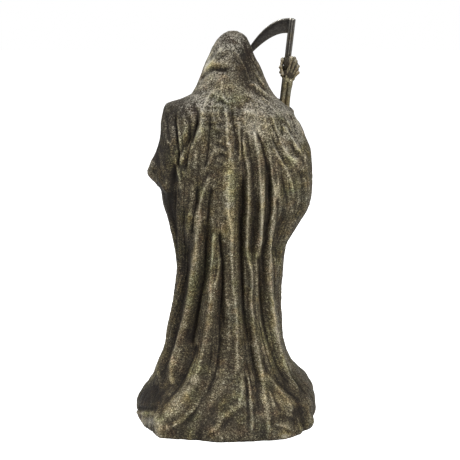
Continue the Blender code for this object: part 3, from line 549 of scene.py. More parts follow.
@dataclass(frozen=True)
class ArmDrape:
    """The left upper sleeve as it hangs from the shoulder: it swells beyond a seam and ends in a lower edge."""

    # Height and bearing of the seam beside the back.
    seam: tuple = ((409, 60), (400, 34), (390, 26), (377, 27), (366, 31), (356, 36), (337, 43), (318, 49), (290, 52))
    # Height and swell beside the seam, then height and swell at the figure's side.
    near: tuple = ((290, 0), (296, 3.5), (303, 6), (320, 5), (345, 3), (370, 2), (390, 1), (405, 0))
    far: tuple = (
        (288, 0), (292, 0.8), (297, 3), (302, 6.5), (307, 11.5), (311, 14.6), (315, 16.0), (319, 15.6), (326, 12.8),
        (336, 8), (348, 3.2), (362, 0),
    )
    seam_width: float = 8.0

    def rise(self, height: np.ndarray, degrees: np.ndarray) -> np.ndarray:
        """How far the sleeve stands out.

        Args:
            height: Heights in parts, one for each row.
            degrees: Bearings in degrees, by row and column.

        Returns:
            The swell in parts, by row and column.
        """
        seam = np.interp(height, *np.array(self.seam[::-1], float).T)[:, None]
        near = curve_through(height, *np.array(self.near, float).T)[:, None]
        far = curve_through(height, *np.array(self.far, float).T)[:, None]
        beside = smoothstep((degrees - seam) / self.seam_width) * (1 - smoothstep((degrees - 62) / 34))
        outside = smoothstep((degrees - 55) / 30) * (1 - smoothstep((degrees - 118) / 28))
        return near * beside + far * outside


@dataclass(frozen=True)
class Streaks:
    """Fine long folds that follow the fall of the cloth from the back to the hem."""

    # Height and how far bearings have spread there since the upper back.
    spread: tuple = ((0, 2.5), (60, 2.2), (100, 1.95), (150, 1.62), (200, 1.4), (250, 1.2), (335, 1.0), (400, 0.95), (487, 0.9))
    # Width in degrees at the upper back, length in parts and depth in parts of each size of fold.
    sizes: tuple = ((5.5, 150.0, 0.9), (2.6, 110.0, 0.9), (1.2, 80.0, 0.6))
    # Height and share of the depth there.
    strength: tuple = ((0, 0.8), (60, 1.0), (230, 1.0), (290, 0.75), (340, 0.4), (400, 0.25), (487, 0.15))

    def rise(self, noise: LatticeNoise, height: np.ndarray, degrees: np.ndarray) -> np.ndarray:
        """How far the streaks stand out.

        Args:
            noise: The noise that they are drawn from.
            height: Heights in parts, one for each row.
            degrees: Bearings in degrees, by row and column.

        Returns:
            The rise in parts, by row and column.
        """
        flow = degrees / np.interp(height, *np.array(self.spread, float).T)[:, None]
        level = np.broadcast_to(height[:, None], degrees.shape)
        total = np.zeros(degrees.shape)
        for k, (wide, tall, depth) in enumerate(self.sizes):
            points = np.stack((flow / wide, level / tall, np.full(degrees.shape, 0.37 + 3.1 * k)), axis=-1)
            total += depth * (0.55 - 1.6 * np.abs(noise.at(points + 200, 1.0)))
        return total * np.interp(height, *np.array(self.strength, float).T)[:, None]


@dataclass
class Robe:
    """The robe and hood: sections stacked up the figure, with folds raised and sunk from them."""

    back_columns: int = 186
    front_columns: int = 46
    # Rows by height, as stops between which they are evenly spaced.
    row_stops: tuple = ((0, 0), (18, 12), (66, 36), (398, 162), (412, 173), (471, 194), (482, 200), (486, 203), (487.4, 205))
    side_bearing: float = math.radians(100)
    relief: float = 0.62
    photo_relief: float = 1.15
    # How far round the photograph's folds reach, and where its patches of painted light, painted shade and patina tone
    # fade out, in degrees.
    seen_bearing: float = 93.0
    light_and_wash_ends: tuple = (70.0, 100.0)
    # How much of the slack's relief shows in the wear.
    slack_wear: float = 0.45
    arm: ArmDrape = field(default_factory=ArmDrape)
    streaks: Streaks = field(default_factory=Streaks)
    view: PhotoView = field(default_factory=PhotoView)
    hood_lean: tuple = (-4.0, -12.0)
    lean_between: tuple = (300.0, 440.0)
    noise: LatticeNoise = field(default_factory=lambda: LatticeNoise(7))

    def __post_init__(self) -> None:
        """Prepares the section table and the folds."""
        self.table = np.array(SECTIONS, float)
        self.dense = np.linspace(-math.pi, math.pi, 1441)
        self.folds = BACK_FOLDS + tuple(hanging_folds())

    def axis(self, height: np.ndarray) -> tuple[np.ndarray, np.ndarray]:
        """Where the middle of a section stands.

        Args:
            height: Heights in parts.

        Returns:
            Its place across and along the figure, in parts.
        """
        low, high = self.lean_between
        lean = smoothstep((height - low) / (high - low))
        return self.hood_lean[0] * lean, self.hood_lean[1] * lean

    def outline(self, height: np.ndarray, bearings: np.ndarray) -> np.ndarray:
        """Points of the plain sections, before the folds.

        Args:
            height: Heights in parts, one for each row.
            bearings: Bearings in radians, one for each column.

        Returns:
            Points across and along, for each row and column.
        """
        reach = [curve_through(height, self.table[:, 0], self.table[:, k])[:, None] for k in (1, 2, 3, 4)]
        left, right, back, front = reach
        across, along = np.sin(bearings)[None], np.cos(bearings)[None]
        middle_x, middle_y = self.axis(height)
        power = 2 / curve_through(height, *np.array(FULLNESS, float).T)[:, None]
        x = middle_x[:, None] + np.where(across > 0, left, right) * np.sign(across) * np.abs(across) ** power
        y = middle_y[:, None] + np.where(along > 0, back, front) * np.sign(along) * np.abs(along) ** power
        return np.stack((x, y), axis=-1)

    def front_at(self, x: float, height: float) -> float:
        """How far forward the plain hood reaches.

        Args:
            x: Place across the figure, in parts.
            height: Height in parts.

        Returns:
            The place along the figure of the hood's front there, in parts.
        """
        level = np.array([height], float)
        left, right, _, front = (float(curve_through(level, self.table[:, 0], self.table[:, k])[0]) for k in (1, 2, 3, 4))
        middle_x, middle_y = (float(value[0]) for value in self.axis(level))
        power = float(curve_through(level, *np.array(FULLNESS, float).T)[0])
        share = min(abs(x - middle_x) / (left if x > middle_x else right), 1.0)
        return middle_y - front * (1 - share**power) ** (1 / power)

    def heights(self) -> np.ndarray:
        """The height of each row, in parts."""
        stops = np.array(self.row_stops, float)
        return np.interp(np.arange(int(stops[-1, 1]) + 1), stops[:, 1], stops[:, 0])

    def lay_columns(self, height: np.ndarray) -> None:
        """Spreads the columns over each row, closer together on the back, and keeps where they lie.

        Args:
            height: The height of each row, in parts.
        """
        plain = self.outline(height, self.dense)
        steps = np.linalg.norm(np.diff(plain, axis=1), axis=2)
        arc = np.concatenate((np.zeros((len(height), 1)), np.cumsum(steps, axis=1)), axis=1)
        middle = len(self.dense) // 2
        arc -= arc[:, middle : middle + 1]
        sides = [int(np.searchsorted(self.dense, side.value * self.side_bearing)) for side in (Side.RIGHT, Side.LEFT)]
        stretches = (
            (arc[:, 0], arc[:, sides[0]], self.front_columns),
            (arc[:, sides[0]], arc[:, middle], self.back_columns),
            (arc[:, middle], arc[:, sides[1]], self.back_columns),
            (arc[:, sides[1]], arc[:, -1], self.front_columns),
        )
        self.at = np.concatenate([np.linspace(a, b, count, endpoint=False, axis=1) for a, b, count in stretches], axis=1)
        self.arc = arc
        self.around = arc[:, -1] - arc[:, 0]
        self.height = height
        rows = range(len(height))
        self.flat = np.stack(
            [np.stack([np.interp(self.at[r], arc[r], plain[r, :, k]) for r in rows]) for k in (0, 1)], axis=-1
        )
        self.bearing = np.stack([np.interp(self.at[r], arc[r], self.dense) for r in rows])

    def fold_rise(self, fold: Fold) -> np.ndarray:
        """How far one fold pushes the surface out.

        Args:
            fold: The fold.

        Returns:
            The rise in parts, for each row and column.
        """
        if fold.course is Course.ACROSS:
            turns = np.radians([p[0] for p in fold.path])
            around = np.where(self.bearing < turns[0] - 0.6, self.bearing + 2 * math.pi, self.bearing)
            line = curve_through(around, turns, [p[1] for p in fold.path])
            spread = math.radians(fold.fade)
            taper = smoothstep((around - turns[0]) / spread) * smoothstep((turns[-1] - around) / spread)
            return fold.depth * taper * fold.profile((self.height[:, None] - line) / fold.width)
        heights = np.array([p[0] for p in fold.path], float)[::-1]
        turns = np.radians([p[1] for p in fold.path])[::-1]
        low, top = heights[0], heights[-1]
        inside = (self.height >= low) & (self.height <= top)
        turn = curve_through(self.height, heights, turns) if len(heights) > 2 else np.interp(self.height, heights, turns)
        turn = (turn + math.pi) % (2 * math.pi) - math.pi
        centre = np.array([np.interp(t, self.dense, a) for t, a in zip(turn, self.arc)])
        slope = np.clip(np.gradient(centre, self.height), -2.4, 2.4)
        half = self.around[:, None] / 2
        across = (self.at - centre[:, None] + half) % (2 * half) - half
        across = across / np.sqrt(1 + slope**2)[:, None]
        down = np.clip((top - self.height) / (top - low), 0, 1)
        width = fold.width + ((fold.low_width or fold.width) - fold.width) * down
        depth = fold.depth + ((fold.low_depth or fold.depth) - fold.depth) * down
        taper = smoothstep((top - self.height) / fold.fade)
        if low > 12:
            taper = taper * smoothstep((self.height - low) / fold.fade)
        return (inside * depth * taper)[:, None] * fold.profile(across / width[:, None])

    def seen(self) -> np.ndarray:
        """The pixel of each point of the plain robe, by row and column."""
        height = np.broadcast_to(self.height[:, None, None], self.flat.shape[:2] + (1,))
        return self.view.project(np.concatenate((self.flat, height), axis=-1))

    def photo_rise(self, fold: PhotoFold, seen: np.ndarray) -> np.ndarray:
        """How far a fold of the photograph pushes the surface out.

        Args:
            fold: The fold.
            seen: The pixel of each point of the plain robe.

        Returns:
            The rise in parts, for each row and column.
        """
        pixels = np.array(fold.pixels, float)
        run = np.concatenate(([0.0], np.cumsum(np.linalg.norm(np.diff(pixels, axis=0), axis=1))))
        steps = np.linspace(0, run[-1], max(int(run[-1] / 5), 2) + 1)
        spots = np.stack([curve_through(steps, run, pixels[:, k]) for k in (0, 1)], axis=1)
        line = []
        for spot in spots:
            row, column = np.unravel_index(np.argmin(((seen - spot) ** 2).sum(axis=-1)), seen.shape[:2])
            line.append((self.at[row, column], self.height[row]))
        line = np.array(line)
        margin = 4 * max(fold.width, fold.end_width)
        rows = (self.height > line[:, 1].min() - margin) & (self.height < line[:, 1].max() + margin)
        arc, level = self.at[rows], np.broadcast_to(self.height[rows][:, None], self.at[rows].shape)
        lengths = np.concatenate(([0.0], np.cumsum(np.linalg.norm(np.diff(line, axis=0), axis=1))))
        nearest = np.full(arc.shape, 1e9)
        where = np.zeros(arc.shape)
        for start, end, gone, length in zip(line[:-1], line[1:], lengths, np.diff(lengths)):
            if length < 1e-6:
                continue
            way = (end - start) / length
            along = np.clip((arc - start[0]) * way[0] + (level - start[1]) * way[1], 0, length)
            apart = np.hypot(arc - start[0] - along * way[0], level - start[1] - along * way[1])
            closer = apart < nearest
            nearest = np.where(closer, apart, nearest)
            where = np.where(closer, gone + along, where)
        share = where / lengths[-1]
        width = fold.width + ((fold.end_width or fold.width) - fold.width) * share
        fade = min(fold.fade, lengths[-1] / 2)
        taper = smoothstep(0.15 + where / fade) * smoothstep(0.15 + (lengths[-1] - where) / fade)
        rise = np.zeros(self.at.shape)
        power = 1.5 if fold.depth > 0 else 1.2
        rise[rows] = fold.depth * taper * np.exp(-((nearest / width) ** power))
        return rise

    def painted_light_and_wash(self, seen: np.ndarray) -> np.ndarray:
        """How much lighter or darker each point is painted, by patches of painted light and shade and of patina tone.

        Args:
            seen: The pixel of each point of the plain robe.

        Returns:
            The change of wear, for each row and column.
        """
        tone = np.zeros(seen.shape[:2])
        for light_patch in PAINTED_LIGHT_AND_WASHES:
            apart = (seen - np.array(light_patch.middle)) / np.array(light_patch.reach)
            tone += light_patch.depth * np.exp(-np.minimum((apart**2).sum(axis=-1), 50.0))
        first, last = self.light_and_wash_ends
        return tone * (1 - smoothstep((np.degrees(np.abs(self.bearing)) - first) / (last - first)))

    def surface_noise(self) -> np.ndarray:
        """The slack of the cloth and the lumps of the casting, in parts, for each row and column."""
        height = np.broadcast_to(self.height[:, None, None], self.flat.shape[:2] + (1,))
        points = np.concatenate((self.flat, height), axis=-1)
        long_points = points * np.array((1.0, 1.0, 0.35))
        rise = 1.0 * self.noise.at(long_points + 91, 16) + 0.55 * self.noise.at(long_points + 17, 7)
        rise += 0.34 * self.noise.at(points + 53, 4.2) + 0.22 * self.noise.at(points + 29, 2.4)
        degrees = np.degrees(self.bearing)
        for c in CRUMPLES:
            apart = (degrees - c.bearing + 180) % 360 - 180
            near = np.exp(-((apart / c.wide) ** 2) - ((self.height[:, None] - c.height) / c.tall) ** 2)
            rise += near * c.depth * self.noise.at(points + 7 * c.height, c.cell)
        return rise

    def hem_waves(self) -> np.ndarray:
        """The scalloped lip of the hem, in parts, for each row and column."""
        lip = np.exp(-((self.height - 9) / 9.0) ** 2)[:, None]
        waves = np.sin(11 * self.bearing + 0.8) + 0.7 * np.sin(17 * self.bearing + 2.0) + 0.5 * np.sin(29 * self.bearing)
        return 1.4 * lip * waves

    def build(self) -> bpy.types.Object:
        """Makes the robe and stores how worn each point is.

        Returns:
            The robe, closed at the underside and the crown.
        """
        self.lay_columns(self.heights())
        degrees = np.degrees(self.bearing)
        seen = self.seen()
        back = np.where(np.abs(degrees)[..., None] < self.seen_bearing, seen, -9999.0)
        folded = self.relief * sum(self.fold_rise(fold) for fold in self.folds)
        folded = folded + self.photo_relief * sum(self.photo_rise(fold, back) for fold in PHOTO_FOLDS)
        folded = folded + self.arm.rise(self.height, degrees) + self.streaks.rise(self.noise, self.height, degrees)
        slack = self.surface_noise() + self.hem_waves()
        rise = folded + slack
        tangent = np.roll(self.flat, -1, axis=1) - np.roll(self.flat, 1, axis=1)
        normal = np.stack((-tangent[..., 1], tangent[..., 0]), axis=-1)
        normal /= np.linalg.norm(normal, axis=-1, keepdims=True)
        flat = self.flat + normal * rise[..., None]
        height = np.broadcast_to(self.height[:, None, None], flat.shape[:2] + (1,))
        points = np.concatenate((flat, height), axis=-1)
        top_x, top_y = (float(v[0]) for v in self.axis(np.array([CROWN])))
        crown = (top_x, top_y, CROWN)
        base = (*points[0, :, :2].mean(axis=0), 0.0)
        robe = grid_mesh("robe", points, base, crown)
        wear = wear_from_relief(folded + self.slack_wear * slack)
        store_attribute(robe, "wear", np.concatenate((wear.ravel(), (0.5, 0.6))))
        store_attribute(robe, "tone", np.concatenate((self.painted_light_and_wash(seen).ravel(), (0.0, 0.0))))
        return robe


def wear_from_relief(rise: np.ndarray) -> np.ndarray:
    """Turns a relief into how rubbed each point is: 0 in a deep hollow, 0.5 on plain cloth, 1 on a sharp ridge.

    Args:
        rise: The relief in parts, by row and column. The columns run right round.

    Returns:
        The wear, between 0 and 1.
    """
    broad = np.tanh((rise - blur(rise, 8, 15)) / 3.2)
    close = np.tanh((rise - blur(rise, 2, 3)) / 0.6)
    return np.clip(0.5 + 0.15 * broad + 0.17 * close, 0.0, 1.0)


def blur(field_: np.ndarray, rows: int, columns: int) -> np.ndarray:
    """A smooth average over a window, by two passes of a box each way.

    Args:
        field_: Values by row and column. The columns run right round.
        rows: Half of the window's rows.
        columns: Half of the window's columns.

    Returns:
        The averaged values.
    """
    for _ in range(2):
        padded = np.concatenate((field_[:, -columns:], field_, field_[:, :columns]), axis=1)
        sums = np.cumsum(np.pad(padded, ((0, 0), (1, 0))), axis=1)
        field_ = (sums[:, 2 * columns + 1 :] - sums[:, : -2 * columns - 1]) / (2 * columns + 1)
        padded = np.pad(field_, ((rows, rows), (0, 0)), mode="edge")
        sums = np.cumsum(np.pad(padded, ((1, 0), (0, 0))), axis=0)
        field_ = (sums[2 * rows + 1 :] - sums[: -2 * rows - 1]) / (2 * rows + 1)
    return field_


def grid_mesh(name: str, points: np.ndarray, low_pole: Point, high_pole: Point) -> bpy.types.Object:
    """Skins a grid of points that runs right round, and closes it with a pole at each end.

    Args:
        name: The object's name.
        points: Points in parts, by row from the first ring and by column.
        low_pole: The point that closes the first ring.
        high_pole: The point that closes the last ring.

    Returns:
        The closed object, with its faces pointing out.
    """
    rows, columns = points.shape[:2]
    verts = np.concatenate((points.reshape(-1, 3), [low_pole, high_pole]))
    verts = (verts + np.array(AXIS_OFFSET)) * PART
    index = np.arange(rows * columns).reshape(rows, columns)
    after = np.roll(index, -1, axis=1)
    quads = np.stack((index[:-1], after[:-1], after[1:], index[1:]), axis=-1).reshape(-1, 4)
    low, high = rows * columns, rows * columns + 1
    fans = [(low, int(b), int(a)) for a, b in zip(index[0], after[0])]
    fans += [(high, int(a), int(b)) for a, b in zip(index[-1], after[-1])]
    mesh = bpy.data.meshes.new(name)
    mesh.from_pydata(verts.tolist(), [], quads.tolist() + fans)
    bm = bmesh.new()
    bm.from_mesh(mesh)
    bmesh.ops.recalc_face_normals(bm, faces=bm.faces)
    bm.to_mesh(mesh)
    bm.free()
    mesh.shade_smooth()
    return new_object(name, mesh)


def new_object(name: str, mesh: bpy.types.Mesh) -> bpy.types.Object:
    """Links a mesh into the scene.

    Args:
        name: The object's name.
        mesh: Its mesh.

    Returns:
        The new object, at the origin.
    """
    obj = bpy.data.objects.new(name, mesh)
    bpy.context.scene.collection.objects.link(obj)
    return obj


def store_attribute(obj: bpy.types.Object, name: str, values: np.ndarray) -> None:
    """Keeps a number for each of an object's vertices.

    Args:
        obj: The object.
        name: The attribute's name.
        values: One number for each vertex.
    """
    mesh = obj.data
    if name in mesh.attributes:
        mesh.attributes.remove(mesh.attributes[name])
    layer = mesh.attributes.new(name, "FLOAT", "POINT")
    layer.data.foreach_set("value", np.asarray(values, np.float32))


def carve(target: bpy.types.Object, cutter: bpy.types.Object, painted_shade_inside: float) -> None:
    """Cuts one solid out of another and carries its wear and tone over to the new surface.

    Args:
        target: The solid that is cut. It keeps its name.
        cutter: The solid that is taken away, and then deleted.
        painted_shade_inside: The wear of the cut surface, kept low as painted shade inside the hollow.
    """
    before = np.array([v.co[:] for v in target.data.vertices])
    kept = {name: np.zeros(len(before), np.float32) for name in ("wear", "tone")}
    for name, values in kept.items():
        target.data.attributes[name].data.foreach_get("value", values)
    modifier = target.modifiers.new("carve", "BOOLEAN")
    modifier.object = cutter
    modifier.operation = "DIFFERENCE"
    modifier.solver = "EXACT"
    bpy.context.view_layer.update()
    mesh = bpy.data.meshes.new_from_object(target.evaluated_get(bpy.context.evaluated_depsgraph_get()))
    target.modifiers.remove(modifier)
    target.data = mesh
    bpy.data.objects.remove(cutter)
    tree = KDTree(len(before))
    for k, co in enumerate(before):
        tree.insert(co, k)
    tree.balance()
    found = [tree.find(v.co)[1:] for v in mesh.vertices]
    for name, inside in (("wear", painted_shade_inside), ("tone", 0.0)):
        values = kept[name]
        store_attribute(target, name, np.array([values[k] if apart < 0.0006 else inside for k, apart in found]))
    mesh.shade_smooth()


@dataclass
class HoodOpening:
    """The hollow of the hood and the rolled cloth of its rim."""

    middle: tuple = (-4.0, -53.0, 437.0)
    half: tuple = (23.0, 31.0, 33.0)
    rim_radius: float = 2.1
    rim_points: int = 120
    # The cut hollow gets a low wear, as painted shade inside the hood.
    painted_shade_inside: float = 0.12

    def cutter(self) -> bpy.types.Object:
        """A ball as large as the hollow."""
        bm = bmesh.new()
        bmesh.ops.create_uvsphere(bm, u_segments=96, v_segments=64, radius=1.0)
        for v in bm.verts:
            v.co = place(Vector(self.middle) + Vector([v.co[k] * self.half[k] for k in range(3)]))
        mesh = bpy.data.meshes.new("hood_hollow")
        bm.to_mesh(mesh)
        bm.free()
        return new_object("hood_hollow", mesh)

    def rim_path(self, robe: Robe) -> list[Vector]:
        """Finds the edge where the hollow meets the hood.

        Args:
            robe: The robe whose hood is hollowed.

        Returns:
            Points around the edge, in parts.
        """
        path = []
        for k in range(self.rim_points):
            turn = 2 * math.pi * k / self.rim_points
            inner, outer = 0.0, 1.0
            for _ in range(24):
                share = (inner + outer) / 2
                x = self.middle[0] + self.half[0] * share * math.sin(turn)
                z = self.middle[2] + self.half[2] * share * math.cos(turn)
                hollow = self.middle[1] + self.half[1] * math.sqrt(1 - share * share)
                if robe.front_at(x, z) < hollow:
                    inner = share
                else:
                    outer = share
            path.append(Vector((x, robe.front_at(x, z), z)))
        return path


@dataclass(frozen=True)
class FaceFeature:
    """A dent or a swelling of the skull: its place from the skull's middle, its half sizes and its depth."""

    across: float
    up: float
    wide: float
    tall: float
    depth: float
    power: float = 2.0
    both_sides: bool = True


@dataclass
class Skull:
    """The skull in the hood: a ball drawn in at a squared jaw, with sockets, nose, cheekbones and teeth."""

    middle: tuple = (-4.0, -28.0, 440.0)
    half: tuple = (17.0, 18.0, 22.5)
    jaw_from: float = -3.0
    jaw_to: float = -19.0
    jaw_narrowing: float = 0.36
    jaw_square: float = 3.4
    features: tuple = (
        FaceFeature(6.8, 2.0, 4.3, 3.9, -7.0, 4.0),
        FaceFeature(0.0, -3.0, 1.5, 2.6, -4.5, 3.0, False),
        FaceFeature(1.7, -5.4, 1.5, 2.2, -3.5, 3.0),
        FaceFeature(7.0, 7.8, 6.0, 2.2, 1.7),
        FaceFeature(0.0, 2.6, 1.8, 4.5, 1.4, 2.0, False),
        FaceFeature(11.0, -4.0, 4.4, 2.2, 2.4),
        FaceFeature(12.5, -11.0, 4.0, 5.0, -3.4),
        FaceFeature(15.0, 5.0, 3.5, 7.0, -1.6),
        FaceFeature(0.0, -9.6, 6.0, 1.6, 1.2, 2.0, False),
        FaceFeature(0.0, -12.9, 6.6, 0.7, -2.0, 4.0, False),
        FaceFeature(0.0, -19.4, 4.6, 2.4, 1.4, 2.0, False),
    )
    teeth: int = 10
    tooth_size: tuple = (1.05, 1.3, 2.5)
    tooth_rows: tuple = (-11.5, -14.4)
    noise: LatticeNoise = field(default_factory=lambda: LatticeNoise(19))

    def rise(self, across: np.ndarray, up: np.ndarray) -> np.ndarray:
        """How far the face stands out.

        Args:
            across: Places across the face, in parts from its middle.
            up: Places up the face.

        Returns:
            The rise at each place, in parts.
        """
        total = np.zeros_like(across)
        for f in self.features:
            side = np.abs(across) if f.both_sides else across
            reach = ((side - f.across) / f.wide) ** 2 + ((up - f.up) / f.tall) ** 2
            total += f.depth * np.exp(-(reach ** (f.power / 2)))
        return total

    def shape(self, directions: np.ndarray) -> tuple[np.ndarray, np.ndarray]:
        """The surface of the skull.

        Args:
            directions: Unit vectors from its middle.

        Returns:
            A point in parts from its middle for each, and the relief there.
        """
        x, y, z = (directions[:, k] * self.half[k] for k in range(3))
        lower = smoothstep((self.jaw_from - z) / (self.jaw_from - self.jaw_to))
        level = np.abs(directions[:, 2])
        round_here = np.maximum(np.sqrt(np.maximum(1 - level**2, 0)), 0.3)
        square = (1 - np.minimum(level, 1.0) ** self.jaw_square) ** (1 / self.jaw_square)
        squared = 1 + lower * (square / round_here - 1)
        x = x * squared * (1 - self.jaw_narrowing * lower)
        y = y * squared
        facing = np.sqrt(np.maximum(-directions[:, 1], 0.0))
        relief = self.rise(x, z) * facing
        grain = 0.25 * self.noise.at(np.stack((x, y, z), axis=1) + 40, 3.0)
        return np.stack((x, y - relief, z), axis=1) + directions * grain[:, None], relief

    def build(self) -> bpy.types.Object:
        """Makes the bone of the skull."""
        bm = bmesh.new()
        bmesh.ops.create_uvsphere(bm, u_segments=180, v_segments=120, radius=1.0)
        mesh = bpy.data.meshes.new("skull")
        bm.to_mesh(mesh)
        bm.free()
        directions = np.array([v.co[:] for v in mesh.vertices])
        points, relief = self.shape(directions)
        points = (points + np.array(self.middle) + np.array(AXIS_OFFSET)) * PART
        mesh.vertices.foreach_set("co", points.ravel().astype(np.float32))
        mesh.update()
        mesh.shade_smooth()
        skull = new_object("skull", mesh)
        store_attribute(skull, "wear", np.clip(0.62 + 0.09 * relief, 0.0, 1.0))
        return skull

    def tooth_places(self) -> list[Vector]:
        """Points in parts where the teeth stand, in an upper and a lower row."""
        places = []
        for up in self.tooth_rows:
            for k in range(self.teeth):
                turn = math.radians(-46 + 92 * k / (self.teeth - 1))
                direction = np.array([[math.sin(turn), -math.cos(turn), up / self.half[2]]])
                direction /= np.linalg.norm(direction)
                point = self.shape(direction)[0][0]
                places.append(Vector((point[0], point[1] - 0.1, up)) + Vector(self.middle))
        return places


class NodeTree:
    """Adds nodes to a material or a geometry tree by one call each."""

    def __init__(self, tree: bpy.types.NodeTree) -> None:
        """Keeps the tree.

        Args:
            tree: The tree that nodes are added to.
        """
        self.tree = tree

    def add(self, kind: str, settings: dict | None = None, **inputs: object) -> bpy.types.Node:
        """Adds a node.

        Args:
            kind: The node's type.
            settings: Its own settings, set first. A ramp's stops are given as stops.
            inputs: Values or links for its sockets, with spaces in their names as underscores.

        Returns:
            The new node.
        """
        node = self.tree.nodes.new(kind)
        for key, value in (settings or {}).items():
            if key == "stops":
                self.set_stops(node, value)
            else:
                setattr(node, key, value)
        for key, value in inputs.items():
            name = key.replace("_", " ")
            index = int(name[5:]) if name.startswith("index") else name
            self.feed(node.inputs[index], value)
        return node

    def feed(self, socket: bpy.types.NodeSocket, value: object) -> None:
        """Links a socket to another, or sets its own value.

        Args:
            socket: The socket that is fed.
            value: A Sock, a socket or a plain value.
        """
        if isinstance(value, Sock):
            self.tree.links.new(value.socket, socket)
        elif isinstance(value, bpy.types.NodeSocket):
            self.tree.links.new(value, socket)
        else:
            socket.default_value = value

    @staticmethod
    def set_stops(node: bpy.types.Node, stops: Sequence[tuple[float, Sequence[float]]]) -> None:
        """Sets a ramp's stops.

        Args:
            node: The ramp.
            stops: The place and colour of each stop, in order.
        """
        elements = node.color_ramp.elements
        while len(elements) < len(stops):
            elements.new(1.0)
        for element, (where, colour) in zip(elements, stops):
            element.position = where
            element.color = colour

    def sock(self, node: bpy.types.Node, output: Union[str, int] = 0) -> "Sock":
        """One of a node's outputs, ready for arithmetic."""
        return Sock(self, node.outputs[output])

    def mix(self, factor: Operand, low: object, high: object, blend: str = "MIX") -> "Sock":
        """Mixes two colours.

        Args:
            factor: The share of the second.
            low: The first colour.
            high: The second colour.
            blend: How they are mixed.

        Returns:
            The mixed colour.
        """
        settings = {"data_type": "RGBA", "blend_type": blend, "clamp_factor": True}
        node = self.add("ShaderNodeMix", settings, index0=factor, index6=low, index7=high)
        return self.sock(node, 2)

    def spread(self, value: "Sock", low: float, high: float) -> "Sock":
        """Maps a value from the stretch between two numbers to 0 and 1, smoothly.

        Args:
            value: The value.
            low: What becomes 0.
            high: What becomes 1.

        Returns:
            The mapped value.
        """
        settings = {"interpolation_type": "SMOOTHSTEP", "clamp": True}
        node = self.add("ShaderNodeMapRange", settings, Value=value, From_Min=low, From_Max=high)
        return self.sock(node, 0)


class Sock:
    """A shader socket that takes part in arithmetic."""

    def __init__(self, nodes: NodeTree, socket: bpy.types.NodeSocket) -> None:
        """Wraps a socket.

        Args:
            nodes: The tree that the arithmetic is added to.
            socket: The socket.
        """
        self.nodes = nodes
        self.socket = socket

    def _math(self, operation: str, a: Operand, b: Operand) -> "Sock":
        """Adds one Math node on two operands."""
        node = self.nodes.add("ShaderNodeMath", {"operation": operation}, index0=a, index1=b)
        return self.nodes.sock(node)

    def __add__(self, other: Operand) -> "Sock":
        """Adds."""
        return self._math("ADD", self, other)

    __radd__ = __add__

    def __sub__(self, other: Operand) -> "Sock":
        """Subtracts."""
        return self._math("SUBTRACT", self, other)

    def __rsub__(self, other: Operand) -> "Sock":
        """Subtracts this from a number."""
        return self._math("SUBTRACT", other, self)

    def __mul__(self, other: Operand) -> "Sock":
        """Multiplies."""
        return self._math("MULTIPLY", self, other)

    __rmul__ = __mul__


Colour = tuple[float, float, float, float]


